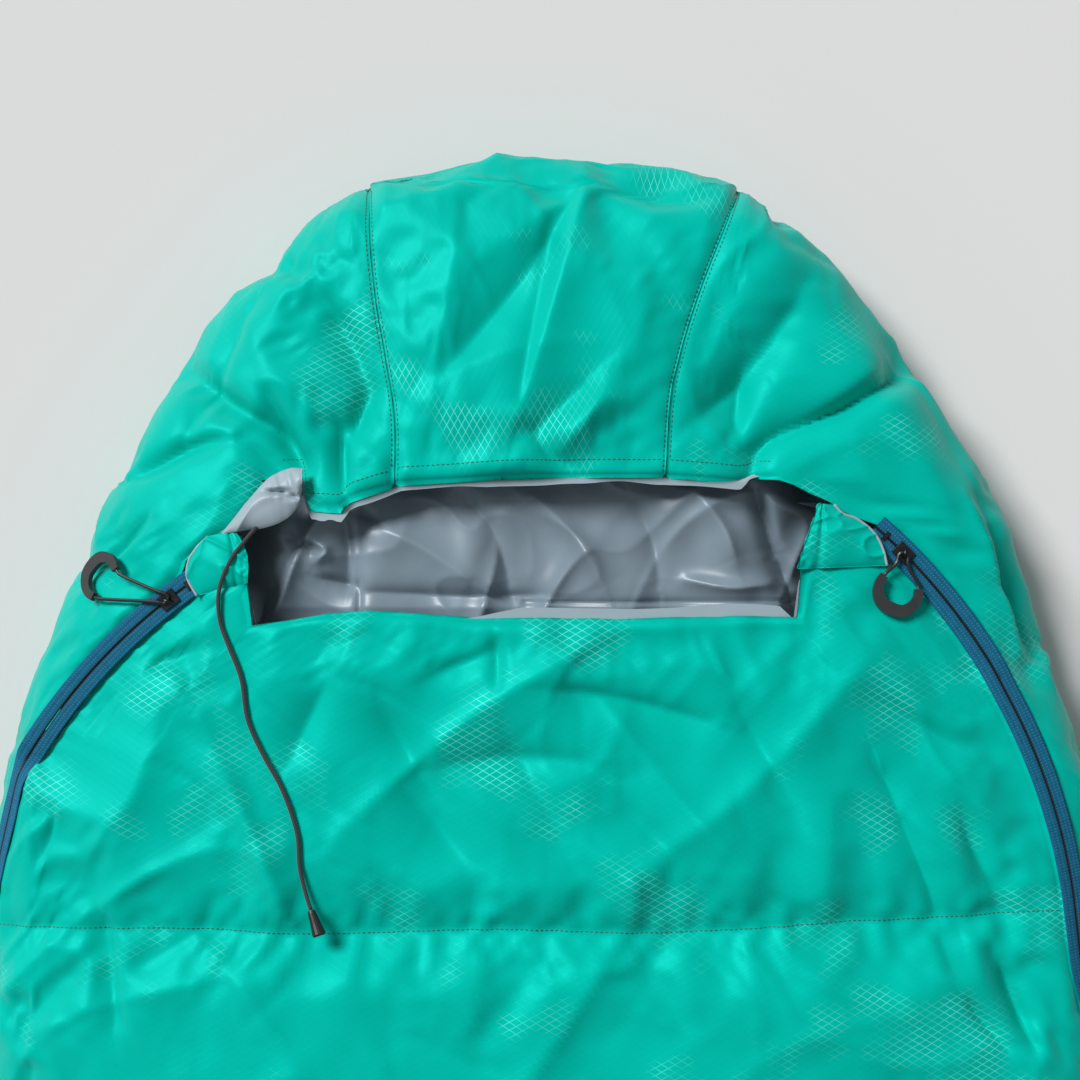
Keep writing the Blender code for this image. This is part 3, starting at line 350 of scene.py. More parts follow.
def rim_distance(x, y, rim):
    """Plan distance from each point to the rim, a polyline closed by its mirror image."""
    line = np.vstack([rim, (rim * (-1, 1))[::-1]])
    start, run = line[:-1], np.diff(line, axis=0)
    size = np.maximum((run**2).sum(1), 1e-12)
    points = np.stack([np.ravel(x), np.ravel(y)], axis=1)
    found = []
    for p in np.array_split(points, len(points) // 4000 + 1):
        along = np.clip(((p[:, None] - start) * run).sum(2) / size, 0, 1)
        away = p[:, None] - (start + along[..., None] * run)
        found.append(np.sqrt((away**2).sum(2).min(1)))
    return np.concatenate(found).reshape(np.shape(x))


def surface(station, around, inset=0.0):
    """Points of the outer form moved in by inset, for arrays of places."""
    station, around = np.broadcast_arrays(np.asarray(station, float), np.asarray(around, float))
    rim = PLAN - inset * PLAN_NORMAL
    angle = around * math.pi / 2
    x = np.interp(station, STATION, rim[:, 0]) * np.sin(angle)
    y = np.interp(station, STATION, rim[:, 1])
    near = rim_distance(x, y, rim)
    radius = EDGE_HEIGHT / 2 - inset
    bulge = radius * np.sqrt(1 - (1 - np.minimum(near / radius, 1)) ** 2)
    dome = DOME * (1 - (1 - np.minimum(near / DOME_RUN, 1)) ** 2)
    z = np.where(np.cos(angle) >= 0, EDGE_HEIGHT / 2 + bulge + dome, EDGE_HEIGHT / 2 - bulge)
    return np.stack([x, y, z], axis=-1)


def surface_normal(station, around, inset=0.0):
    """The form's outward normals at arrays of places."""
    step = 0.01
    across = surface(station, around + step, inset) - surface(station, around - step, inset)
    along = surface(station + step, around, inset) - surface(station - step, around, inset)
    normal = np.cross(along, across)
    return normal / np.linalg.norm(normal, axis=-1)[..., None]


def top_point(x, y, lift=0.0):
    """A point at plan coordinates, lift above the top."""
    return surface(station_at(y), around_at(x, y)) + np.array([0, 0, lift])


def seam_gap(station):
    """Half a seam's gap, as a place round the section."""
    half = np.interp(station, STATION, PLAN[:, 0])
    cosine = abs(math.cos(FLOOR_AROUND * math.pi / 2))
    return SEAM_HALF / np.maximum(half * math.pi / 2 * cosine, SEAM_HALF)


def floor_seam(station):
    """The place around the section of a cover's edge at the floor seam, on the right."""
    return FLOOR_AROUND - seam_gap(station)


def seam_place(seam, station):
    """The place round the hood of a seam given by Y and X."""
    y = np.interp(station, STATION, PLAN[:, 1])
    line = catmull_rom(seam, 8)
    x = np.interp(-y, -line[:, 0], line[:, 1])
    over = np.clip((y - SEAM_TOP[0]) / (SEAM_TOP[1] - SEAM_TOP[0]), 0, 1)
    side = math.copysign(1, seam[0][1])
    return around_at(x, y) * (1 - over) + side * FLOOR_AROUND * over


class ZipLine:
    """One zip's middle line: an arc in a tilted plane, then the rim down to the foot."""

    def __init__(self, name):
        spec = ZIPS[name]
        self.side = spec["side"]
        self.start, self.travel = spec["start"], spec["travel"]
        self.way = math.copysign(1, self.travel)
        ends = []
        for a in (self.start, self.start + self.travel):
            x, y = self.flat_point(spec["centre"], a)
            ends.append(surface(station_at(y), around_at(x, y), ZIP_INSET))
        chord = ends[1] - ends[0]
        level = math.hypot(chord[0], chord[1])
        slope = chord[2] / level
        run = Vector((chord[0] / level, chord[1] / level, slope)).normalized()
        self.axis = run.cross(Vector((-chord[1], chord[0], 0))).normalized()
        height = ends[0][2] + slope * (
            (spec["centre"][0] - ends[0][0]) * chord[0] + (spec["centre"][1] - ends[0][1]) * chord[1]
        ) / level
        self.centre = Vector((*spec["centre"], height))
        east = Vector((1, 0, 0))
        self.east = (east - east.dot(self.axis) * self.axis).normalized()
        self.north = self.axis.cross(self.east)
        self.lay_line(spec)

    @staticmethod
    def flat_point(centre, degrees):
        turn = math.radians(degrees)
        return (centre[0] + ZIP_RADIUS * math.cos(turn), centre[1] + ZIP_RADIUS * math.sin(turn))

    def arc_point(self, degrees):
        turn = math.radians(degrees)
        return self.centre + ZIP_RADIUS * (math.cos(turn) * self.east + math.sin(turn) * self.north)

    def lay_line(self, spec):
        """The middle line's points and normals, and the panel edges beside it."""
        steps = int(abs(self.travel) / 2)
        angles = [self.start - self.way * ZIP_ABOVE * (1 - k / 2) for k in range(2)]
        angles += list(np.linspace(self.start, self.start + self.travel + 1.6 * self.way, steps + 1))
        points = [tuple(self.arc_point(a)) for a in angles]
        normals = [tuple(self.axis)] * len(points)
        arc = np.arange(self.start + self.travel + 4 * self.way,
                        self.start + spec["arc"] + 0.1 * self.way, 4 * self.way)
        plan = np.array([self.flat_point(spec["centre"], a) for a in arc])
        around = list(around_at(plan[:, 0], plan[:, 1]))
        heights = list(plan[:, 1])
        last_y, last_around = heights[-1], around[-1]
        easing = np.arange(last_y - 0.03, last_y - RIM_RUN, -0.03)
        straight = np.linspace(easing[-1] - 0.03, FOOT_SEAM + 0.01, 16)
        for y in np.append(easing, straight):
            ease = min((last_y - y) / RIM_RUN, 1)
            ease = ease * ease * (3 - 2 * ease)
            heights.append(y)
            around.append(last_around + (self.side * RIM_AROUND - last_around) * ease)
        station = station_at(heights)
        around = np.array(around)
        self.points = np.vstack([points, surface(station, around, ZIP_INSET)])
        self.normals = np.vstack([normals, surface_normal(station, around, ZIP_INSET)])
        on_arc = self.points[: len(points)]
        self.line_y = self.points[:, 1]
        self.line_around = np.concatenate([around_at(on_arc[:, 0], on_arc[:, 1]), around])
        step = 0.004
        stations = station_at(self.line_y)
        over = (surface(stations, self.line_around + step)
                - surface(stations, self.line_around - step)) / (2 * step)
        along = np.gradient(self.points, axis=0)
        across = np.cross(along, self.normals)
        across /= np.linalg.norm(across, axis=1)[:, None]
        self.per_metre = 1 / np.abs((over * across).sum(1))

    def rise(self, y):
        """How far the zip lies above the form at Y: it bridges the hollow beside a flat arc."""
        order = np.argsort(self.line_y)
        lifted = self.points[:, 2] - surface(station_at(self.line_y), self.line_around, ZIP_INSET)[:, 2]
        return np.interp(y, self.line_y[order], lifted[order])

    def panel_edge(self, y, margin):
        """The place round the section, margin metres beside the zip at Y; plus is to the right."""
        order = np.argsort(self.line_y)
        edge = self.line_around + margin * self.per_metre
        return np.interp(y, self.line_y[order], edge[order])


LINES = {name: ZipLine(name) for name in ZIPS}


# --- How the fabric lies --------------------------------------------------------------------

ARC_STATIONS = np.linspace(0, len(OUTLINE) - 1, 97)
ARC_AROUND = np.linspace(0, 2, 121)
ARC_LENGTH = np.concatenate([
    np.zeros((97, 1)),
    np.cumsum(np.linalg.norm(np.diff(surface(ARC_STATIONS[:, None], ARC_AROUND[None]), axis=1),
                             axis=2), axis=1),
], axis=1)


def girth(station, around):
    """Length round the section from the top middle, right of it above zero."""
    i = np.clip(station / ARC_STATIONS[1], 0, len(ARC_STATIONS) - 1.001)
    j = np.clip(np.abs(around) / ARC_AROUND[1], 0, len(ARC_AROUND) - 1.001)
    i, j = np.broadcast_arrays(i, j)
    low_i, low_j = i.astype(int), j.astype(int)
    fi, fj = i - low_i, j - low_j
    length = ((ARC_LENGTH[low_i, low_j] * (1 - fj) + ARC_LENGTH[low_i, low_j + 1] * fj) * (1 - fi)
              + (ARC_LENGTH[low_i + 1, low_j] * (1 - fj)
                 + ARC_LENGTH[low_i + 1, low_j + 1] * fj) * fi)
    return np.where(around < 0, -length, length)


def lattice_noise(x, y, pitch, seed):
    """Smooth noise from -1 to 1 whose features are about pitch metres across."""
    size = 64
    values = np.random.default_rng(seed).uniform(-1, 1, (size, size))
    u, v = x / pitch + 20.3, y / pitch + 20.7
    i, j = np.floor(u).astype(int), np.floor(v).astype(int)
    fu, fv = u - i, v - j
    fu, fv = fu * fu * (3 - 2 * fu), fv * fv * (3 - 2 * fv)
    a, b = values[i % size, j % size], values[(i + 1) % size, j % size]
    c, d = values[i % size, (j + 1) % size], values[(i + 1) % size, (j + 1) % size]
    return (a * (1 - fu) + b * fu) * (1 - fv) + (c * (1 - fu) + d * fu) * fv


def creases(x, y, pitch, turn, stretch, seed):
    """Sharp-backed wrinkles from 0 to 1, running the way of turn, in radians."""
    u = x * math.cos(turn) + y * math.sin(turn)
    v = y * math.cos(turn) - x * math.sin(turn)
    bend = lattice_noise(x, y, pitch * 3, seed + 50)
    value = lattice_noise(u / stretch + bend * pitch * 0.5, v + bend * pitch * 0.8, pitch, seed)
    return (1 - np.abs(value)) ** 3


def relief_of(folds, x, y):
    """Height of the listed folds at plan coordinates."""
    total = np.zeros(np.shape(x))
    for points, height, left, right in folds:
        line = catmull_rom(points, 8)
        reach = 3 * max(left, right) / 1000
        low, high = line.min(0) - reach, line.max(0) + reach
        near = (x > low[0]) & (x < high[0]) & (y > low[1]) & (y < high[1])
        if not near.any():
            continue
        p = np.stack([x[near], y[near]], axis=1)
        start, run = line[:-1], np.diff(line, axis=0)
        along = ((p[:, None] - start) * run).sum(2) / (run**2).sum(1)
        held = np.clip(along, 0, 1)
        away = p[:, None] - (start + held[..., None] * run)
        distance = np.linalg.norm(away, axis=2)
        best = distance.argmin(1)
        rows = np.arange(len(p))
        side = run[best, 0] * away[rows, best, 1] - run[best, 1] * away[rows, best, 0]
        width = np.where(side > 0, left, right) / 1000
        share = (best + held[rows, best]) / len(run)
        taper = np.sqrt(np.clip(np.sin(math.pi * np.clip(share * 0.84 + 0.08, 0, 1)), 0, 1))
        total[near] += height / 1000 * taper * np.exp(-((distance[rows, best] / width) ** FOLD_CREASE))
    return total


def wrinkle_relief(u, v):
    """Swells, broad creases and patches of small wrinkles over the whole shell."""
    lift = np.full(np.shape(u + v), -WRINKLE_DROP)
    for pitch, seed, height in SWELLS:
        lift += height * lattice_noise(u, v, pitch, seed)
    for pitch, turn, stretch, seed, height in BROAD_CREASES:
        lift += height * creases(u, v, pitch, turn, stretch, seed)
    for pitch, turn, stretch, seed, height, patches, lowest in WRINKLES:
        shown = np.clip(lattice_noise(u, v, patches, seed + 1), lowest, 1)
        lift += height * shown * creases(u, v, pitch, turn, stretch, seed)
    return lift


def seam_line(u, k):
    """Y of a quilting seam at a place round the section: it rises a little to the right."""
    lean = 0.012 * np.clip(u / 0.35, 0, 1) ** 2 if k == 0 else 0.0
    return QUILT[k] + lean + QUILT_WAVE * lattice_noise(u, u * 0, 0.12, 30 + k)


def quilt_threads(u, v):
    """For stitches(): fields that are zero on each quilting seam, to be followed along columns."""
    return [(v - seam_line(u, k), 0) for k in range(len(QUILT))]


def quilt_relief(u, y):
    """The dips of the quilting seams, with short puckers beside them."""
    total = np.zeros(np.shape(y))
    for k in range(len(QUILT)):
        away = np.abs(y - seam_line(u, k))
        close = np.exp(-away / QUILT_WIDTH)
        puckers = lattice_noise(u, away * PUCKER_STRETCH, PUCKER_PITCH, 40 + k)
        total += -QUILT_DEPTH * close + PUCKER * puckers * np.exp(-away / QUILT_PUCKER_REACH)
    return total


def edge_relief(distance, along, seed, dip=FLOOR_DIP):
    """The dip and puckers beside a sewn edge, by distance from it and place along it."""
    depth, width = dip
    puckers = lattice_noise(along, distance * PUCKER_STRETCH, PUCKER_PITCH, seed)
    return (-depth * np.exp(-distance / width)
            + EDGE_PUCKER * puckers * np.exp(-distance / PUCKER_REACH))


def bell(distance, width):
    """1 at no distance, falling smoothly away over about width."""
    return np.exp(-((distance / width) ** 2))


def rolled(distance, radius):
    """How far an edge has rolled down at a distance from the rim of the roll."""
    inside = np.clip(radius - distance, 0, radius)
    return -(radius - np.sqrt(np.maximum(radius**2 - inside**2, 0)))


# --- Meshes ---------------------------------------------------------------------------------

def new_object(name, mesh, finish):
    """A smooth-shaded object of this mesh and material, in the scene."""
    made = bpy.data.objects.new(name, mesh)
    bpy.context.scene.collection.objects.link(made)
    mesh.materials.append(finish)
    mesh.polygons.foreach_set("use_smooth", [True] * len(mesh.polygons))
    mesh.update()
    return made


def smooth_line(points, count):
    """Evenly read points from a smooth curve through the given ones, in plan or in space."""
    dense = catmull_rom(points, 16)
    length = np.concatenate([[0], np.cumsum(np.linalg.norm(np.diff(dense, axis=0), axis=1))])
    wanted = np.linspace(0, length[-1], count)
    return np.stack([np.interp(wanted, length, column) for column in dense.T], axis=1)


def lofted(first, second, rows, cols):
    """A grid of plan points between two smooth lines."""
    a, b = smooth_line(first, rows), smooth_line(second, rows)
    share = np.linspace(0, 1, cols)[None, :, None]
    return a[:, None] * (1 - share) + b[:, None] * share


def grid_normals(points):
    """The normals of a grid of points."""
    along = np.gradient(points, axis=0)
    across = np.gradient(points, axis=1)
    normal = np.cross(along, across)
    return normal / np.maximum(np.linalg.norm(normal, axis=-1), 1e-12)[..., None]


def running_length(points, axis):
    """Length along each row or column of a grid, from its first point."""
    step = np.linalg.norm(np.diff(points, axis=axis), axis=-1)
    total = np.cumsum(step, axis=axis)
    shape = list(total.shape)
    shape[axis] = 1
    return np.concatenate([np.zeros(shape), total], axis=axis)


def grid_faces(rows, cols, keep=None, first=0):
    """The quads of a grid whose first point has index first. keep marks the quads that stay."""
    index = first + np.arange(rows * cols).reshape(rows, cols)
    quads = np.stack([index[:-1, :-1], index[1:, :-1], index[1:, 1:], index[:-1, 1:]], axis=-1)
    return quads[keep] if keep is not None else quads.reshape(-1, 4)


def quad_mesh(name, points, chart, quads, finish):
    """A mesh of quads whose UV map, in metres, is chart."""
    mesh = bpy.data.meshes.new(name)
    mesh.vertices.add(len(points))
    mesh.vertices.foreach_set("co", points.reshape(-1).astype(np.float32))
    mesh.loops.add(quads.size)
    mesh.loops.foreach_set("vertex_index", quads.reshape(-1).astype(np.int32))
    mesh.polygons.add(len(quads))
    mesh.polygons.foreach_set("loop_start", np.arange(0, quads.size, 4, dtype=np.int32))
    mesh.polygons.foreach_set("loop_total", np.full(len(quads), 4, dtype=np.int32))
    mesh.update(calc_edges=True)
    layer = mesh.uv_layers.new(name="cloth")
    layer.data.foreach_set("uv", chart[quads.reshape(-1)].reshape(-1).astype(np.float32))
    mesh.validate()
    return new_object(name, mesh, finish)


def sewn_to_bag(made, slot, *nodes):
    """Says that a piece rides on the bag and hides the nodes it stands for; slot is not used."""
    if nodes:
        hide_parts(*nodes)
    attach(made, "bag")


def grid_mesh(name, points, chart, finish):
    """A mesh of a whole grid."""
    rows, cols = points.shape[:2]
    return quad_mesh(name, points.reshape(-1, 3), chart.reshape(-1, 2), grid_faces(rows, cols),
                     finish)


def welded(made):
    """Joins points that lie on each other, and drops points that no face uses."""
    work = bmesh.new()
    work.from_mesh(made.data)
    loose = [v for v in work.verts if not v.link_faces]
    bmesh.ops.delete(work, geom=loose, context="VERTS")
    bmesh.ops.remove_doubles(work, verts=work.verts, dist=1e-6)
    work.to_mesh(made.data)
    work.free()
    return made


OBSTACLES = []  # (X, Y, lowest Z) of the hard pieces that lie on the fabric, in all their places


def add_obstacle(points):
    """Adds points of a hard piece that the fabric gives way to."""
    OBSTACLES.extend(tuple(float(v) for v in p) for p in points)


def node_points(name):
    """A CAD node's points, in the scene."""
    node = frame["nodes"][name]
    return np.array([tuple(node.matrix_world @ v.co) for v in node.data.vertices])


def hinge_of(name):
    """A joint's centre, axis and range in degrees."""
    joint = next(j for j in frame["joints"] if j["name"] == name)
    return np.array(joint["pos_m"]), Vector(joint["axis"]), joint["range_deg"]


def add_runner(side):
    """The slider, cord and grip of one zip, at every place that they run through."""
    centre, axis, (low, high) = hinge_of(f"{side}_slider_run")
    points = np.vstack([
        node_points(f"{side}_{part}") for part in ("slider", "pull_cord", "pull_grip")
    ])
    for degrees in np.linspace(low, high, RUN_STEPS):
        turn = np.array(Matrix.Rotation(math.radians(degrees), 3, axis))
        add_obstacle((points - centre) @ turn.T + centre)


def pressed(points):
    """The fabric held down where a hard piece lies on it or runs over it."""
    if not OBSTACLES:
        return points
    cells = {}
    for x, y, z in OBSTACLES:
        key = (round(x / PRESS_CELL), round(y / PRESS_CELL))
        cells[key] = min(z, cells.get(key, z))
    held = np.array([(i * PRESS_CELL, j * PRESS_CELL, z) for (i, j), z in cells.items()])
    flat = points.reshape(-1, 3)
    low, high = held.min(0) - PRESS_REACH, held.max(0) + PRESS_REACH
    near = np.where(((flat[:, :2] > low[:2]) & (flat[:, :2] < high[:2])).all(1)
                    & (flat[:, 2] > EDGE_HEIGHT / 2))[0]
    for part in np.array_split(near, len(near) // 2000 + 1):
        if not len(part):
            continue
        away = np.linalg.norm(flat[part, None, :2] - held[None, :, :2], axis=2)
        limit = held[:, 2] - PRESS_GAP + np.maximum(away - PRESS_FLAT, 0) * PRESS_SLOPE
        over = (flat[part, 2] - limit.min(1)) / PRESS_SOFT
        flat[part, 2] -= PRESS_SOFT * np.logaddexp(0, over)
    return flat.reshape(points.shape)


def side_rims(rows, cols):
    """The four edges of a whole grid, as (axis, place, next place in, start, stop)."""
    return [(0, 0, 1, 0, cols), (0, rows - 1, rows - 2, 0, cols),
            (1, 0, 1, 0, rows), (1, cols - 1, cols - 2, 0, rows)]


def sewn_mesh(name, points, normals, chart, finish, rims, keep=None, depth=EDGE_TURN):
    """A grid, less the faces that keep leaves out, with its named rims turned down and under."""
    rows, cols = points.shape[:2]
    all_points, all_charts = [points.reshape(-1, 3)], [chart.reshape(-1, 2)]
    all_quads = [grid_faces(rows, cols, keep)]
    for axis, place, inner, start, stop in rims:
        p, n, c = (grid.take(place, axis)[start:stop] for grid in (points, normals, chart))
        back = points.take(inner, axis)[start:stop] - p
        back /= np.maximum(np.linalg.norm(back, axis=-1), 1e-9)[..., None]
        ring = [p, p - n * depth * 0.5 - back * depth * 0.12, p - n * depth + back * depth * 0.35]
        strip = np.stack(ring, axis=1)
        flipped = (place > inner) != (axis == 1)
        strip = strip if flipped else strip[:, ::-1]
        first = sum(len(part) for part in all_points)
        all_points.append(strip.reshape(-1, 3))
        all_charts.append(np.repeat(c, 3, axis=0))
        all_quads.append(grid_faces(len(p), 3, None, first))
    made = quad_mesh(name, np.concatenate(all_points), np.concatenate(all_charts),
                     np.concatenate(all_quads), finish)
    return welded(made)


def edge_distance(points, cut):
    """Distance from every grid point to the nearest sewn edge, measured along rows and columns."""
    across, along = running_length(points, 1), running_length(points, 0)
    found = np.minimum(np.minimum(across, across[:, -1:] - across),
                       np.minimum(along, along[-1:] - along))
    if cut is not None:
        row, col, side = cut
        low = np.abs(across - across[:, col:col + 1])
        outer = slice(None, col + 1) if side < 0 else slice(col, None)
        inner = slice(col, None) if side < 0 else slice(None, col + 1)
        found[row:, outer] = np.minimum(found[row:, outer], low[row:, outer])
        above = np.abs(along - along[row:row + 1])
        found[:row + 1, inner] = np.minimum(found[:row + 1, inner], above[:row + 1, inner])
        found[row:, inner] = 0
        corner = np.hypot(above[:row + 1], low[:row + 1])
        found[:row + 1] = np.minimum(found[:row + 1], corner)
    return found


def cut_rims(rows, cols, cut):
    """The edges of a grid whose inner lower part is cut away, and the faces that stay."""
    row, col, side = cut
    keep = np.ones((rows - 1, cols - 1), bool)
    if side < 0:
        keep[row:, col:] = False
        rims = [(0, rows - 1, rows - 2, 0, col + 1), (1, 0, 1, 0, rows),
                (1, cols - 1, cols - 2, 0, row + 1), (0, row, row - 1, col, cols),
                (1, col, col - 1, row, rows)]
    else:
        keep[row:, :col] = False
        rims = [(0, rows - 1, rows - 2, col, cols), (1, cols - 1, cols - 2, 0, rows),
                (1, 0, 1, 0, row + 1), (0, row, row - 1, 0, col + 1), (1, col, col + 1, row, rows)]
    return rims, keep


def folded_points(base, form, from_edge, cut, settled):
    """The form's points moved to where the folded and settled cloth lies."""
    facing_up = np.clip(form[..., 2] * 1.5, 0, 1)
    height = relief_of(FOLDS, base[..., 0], base[..., 1]) * facing_up * FOLD_GAIN
    folded = base + form * height[..., None]
    if not settled:
        return folded
    near_seam = np.min([np.abs(base[..., 1] - seam) for seam in QUILT], axis=0)
    held = np.maximum(bell(near_seam, QUILT_HELD), bell(from_edge, HELD_WIDTH))
    moved = settle(folded, held, cut)
    outward = ((moved - blurred(moved, DRIFT)) * form).sum(-1)
    return folded + form * (outward * (1 - bell(from_edge, FREE_WIDTH)))[..., None]


def cover(name, station, around, finish, nodes, relief, settled=True, cut=None, threads=None):
    """A sewn panel of shell fabric over its fill.

    relief gives the lift from the grid's own measures, and threads the lines of stitches in it.
    cut is (row, column, side): from that row down, the columns inside it belong to the face
    opening and carry no fabric.
    """
    station, around = np.broadcast_arrays(station, around)
    base = surface(station, around, SHELL_INSET)
    form = surface_normal(station, around, SHELL_INSET)
    across, along = running_length(base, 1), running_length(base, 0)
    u, v = girth(station, around), base[..., 1]
    from_edge = edge_distance(base, cut)
    lift = relief(base, across, along, u) + wrinkle_relief(u, v) * (1 - bell(from_edge, CALM_WIDTH))
    points = folded_points(base, form, from_edge, cut, settled) + form * lift[..., None]
    points[..., 2] = np.maximum(points[..., 2], FLOOR_GAP)
    if settled:
        points = pressed(points)
    free = (1 - bell(from_edge, FREE_WIDTH))[..., None]
    normals = form * (1 - free) + grid_normals(points) * free
    normals /= np.linalg.norm(normals, axis=-1)[..., None]
    rims, keep = (side_rims(*u.shape), None) if cut is None else cut_rims(*u.shape, cut)
    made = sewn_mesh(name, points, normals, np.stack([u, v], axis=-1), finish, rims, keep)
    sewn_to_bag(made, "shell_fabric", *nodes)
    if threads is not None:
        sew(name, points, normals, threads(across, along, u, v), cut)


def sew(name, points, normals, fields, cut):
    """Stitches along the zero line of each field, but none in the face opening."""
    lines = []
    for field, axis in fields:
        if cut is not None:
            row, col, side = cut
            field = field.copy()
            field[row + 1:, slice(col, None) if side < 0 else slice(None, col + 1)] = np.nan
        lines.append(crossings(points, normals, field, axis))
    stitches(f"{name}_thread", lines)


def crossings(points, normals, field, axis):
    """Where a field over a grid first passes zero on each line along axis, and the normals."""
    field = np.moveaxis(field, axis, 0)
    both = np.concatenate([points, normals], axis=-1)
    both = np.moveaxis(both, axis, 0)
    change = field[:-1] * field[1:] < 0
    place = np.where(change.any(0))[0]
    first = change.argmax(0)[place]
    low, high = field[first, place], field[first + 1, place]
    share = (low / (low - high))[:, None]
    return both[first, place] * (1 - share) + both[first + 1, place] * share


def stitch_grids(line, length, wanted):
    """A grid of points for each stitch, at the wanted lengths along a line."""
    read = [np.interp(wanted + step, length, line[:, k])
            for step in (-STITCH_READ, 0, STITCH_READ) for k in range(6)]
    before, middle, after = np.array(read).reshape(3, 6, -1).transpose(0, 2, 1)
    run = after[:, :3] - before[:, :3]
    run /= np.maximum(np.linalg.norm(run, axis=1), 1e-9)[:, None]
    up = middle[:, 3:] / np.linalg.norm(middle[:, 3:], axis=1)[:, None]
    side = np.cross(run, up)
    turn = np.linspace(0, 2 * math.pi, STITCH_SIDES + 1)[None, :, None]
    rings = []
    for share, wide in STITCH_PROFILE:
        half = STITCH_HALF * wide
        centre = middle[:, :3] + run * share * STITCH_LENGTH + up * half * STITCH_PROUD
        rings.append(centre[:, None]
                     + half * (np.cos(turn) * side[:, None] + np.sin(turn) * up[:, None]))
    return np.stack(rings, axis=1)


def stitches(name, lines):
    """Sewing thread: short rounded stitches set in along each line of points and normals."""
    grids = []
    for line in lines:
        gap = np.linalg.norm(np.diff(line[:, :3], axis=0), axis=1)
        for part in np.split(np.arange(len(line)), np.where(gap > STITCH_BREAK)[0] + 1):
            length = np.concatenate([[0], np.cumsum(gap[part[:-1]])])
            wanted = np.arange(STITCH_PITCH, length[-1] - STITCH_PITCH, STITCH_PITCH)
            if len(part) > 2 and len(wanted):
                grids.append(stitch_grids(line[part], length, wanted))
    grids = np.concatenate(grids)
    count, rows, cols = grids.shape[:3]
    faces = grid_faces(rows, cols)[None, :, ::-1]
    quads = (faces + (np.arange(count) * rows * cols)[:, None, None]).reshape(-1, 4)
    points = grids.reshape(-1, 3)
    made = quad_mesh(name, points, points[:, :2], quads, THREAD_CLOTH)
    sewn_to_bag(welded(made), "shell_fabric")


def patch(name, first, second, finish, node, lift, slot):
    """A small sewn piece between two plan lines. lift gives its height above the top."""
    plan = lofted(first, second, PATCH_GRID, PATCH_GRID)
    x, y = plan[..., 0], plan[..., 1]
    steps = np.linspace(0, 1, PATCH_GRID)
    down, over = np.meshgrid(steps, steps, indexing="ij")
    z = top_point(x, y)[..., 2] + lift(x, y, down, over)
    points = np.stack([x, y, z], axis=-1)
    normals = grid_normals(points)
    if normals[..., 2].mean() < 0:
        points, plan = points[:, ::-1], plan[:, ::-1]
        normals = -normals[:, ::-1]
    rims = side_rims(PATCH_GRID, PATCH_GRID)
    sewn_to_bag(sewn_mesh(name, points, normals, plan, finish, rims, None, PATCH_TURN), slot, node)


# --- Cloth simulation -----------------------------------------------------------------------

SETTLE_STEP = 0.0085  # spacing of the simulated cloth
SETTLE_FRAMES = 22
SETTLE_SLACK = -0.026  # how much bigger the cloth is than the form under it, as a shrink factor
SETTLE_PRESSURE = 0.8
SETTLE_CAP = 0.010
DRIFT = 0.7  # share of the slow swelling that the fill takes back
BLUR = 9  # grid steps to each side that a slow swelling is averaged over


def thinned(length, wanted):
    """Indices along a row of lengths about wanted apart, first and last among them."""
    picked = [0]
    for k in range(1, len(length) - 1):
        if length[k] - length[picked[-1]] >= wanted:
            picked.append(k)
    if len(length) - 1 - picked[-1] < 2 and len(picked) > 1:
        picked.pop()
    return np.array(picked + [len(length) - 1])


def settle(points, held, cut=None):
    """Lets slack cloth of this shape puff up under light pressure. held is 1 where it is sewn."""
    rows = thinned(running_length(points, 0).max(1), SETTLE_STEP)
    cols = thinned(running_length(points, 1).max(0), SETTLE_STEP)
    if cut is not None:
        rows, cols = np.union1d(rows, [cut[0]]), np.union1d(cols, [cut[1]])
    coarse = points[np.ix_(rows, cols)]
    pinned = held[np.ix_(rows, cols)].copy()
    pinned[[0, -1]] = 1
    pinned[:, [0, -1]] = 1
    cloth = grid_mesh("settling", coarse, coarse[..., :2], WEBBING)
    group = cloth.vertex_groups.new(name="sewn")
    for index, weight in enumerate(pinned.reshape(-1)):
        if weight > 0.01:
            group.add([index], float(weight), "REPLACE")
    step = cloth.modifiers.new("cloth", "CLOTH")
    step.settings.quality = 4
    step.settings.mass = 0.15
    step.settings.tension_stiffness = 15
    step.settings.compression_stiffness = 15
    step.settings.shear_stiffness = 4
    step.settings.bending_stiffness = 0.4
    step.settings.effector_weights.gravity = 0.0
    step.settings.shrink_min = SETTLE_SLACK
    step.settings.use_pressure = True
    step.settings.uniform_pressure_force = SETTLE_PRESSURE
    step.settings.vertex_group_mass = "sewn"
    step.settings.pin_stiffness = 1.0
    step.collision_settings.use_collision = False
    step.collision_settings.use_self_collision = False
    step.point_cache.frame_start = 1
    step.point_cache.frame_end = SETTLE_FRAMES
    for number in range(1, SETTLE_FRAMES + 1):
        bpy.context.scene.frame_set(number)
    seen = cloth.evaluated_get(bpy.context.evaluated_depsgraph_get())
    moved = np.empty(len(cloth.data.vertices) * 3, np.float32)
    seen.data.vertices.foreach_get("co", moved)
    moved = moved.reshape(coarse.shape) - coarse
    bpy.data.objects.remove(cloth)
    bpy.context.scene.frame_set(1)
    size = np.linalg.norm(moved, axis=-1, keepdims=True)
    moved *= np.minimum(1, SETTLE_CAP / np.maximum(size, 1e-9))
    return spread(spread(moved, rows, points.shape[0], 0), cols, points.shape[1], 1)


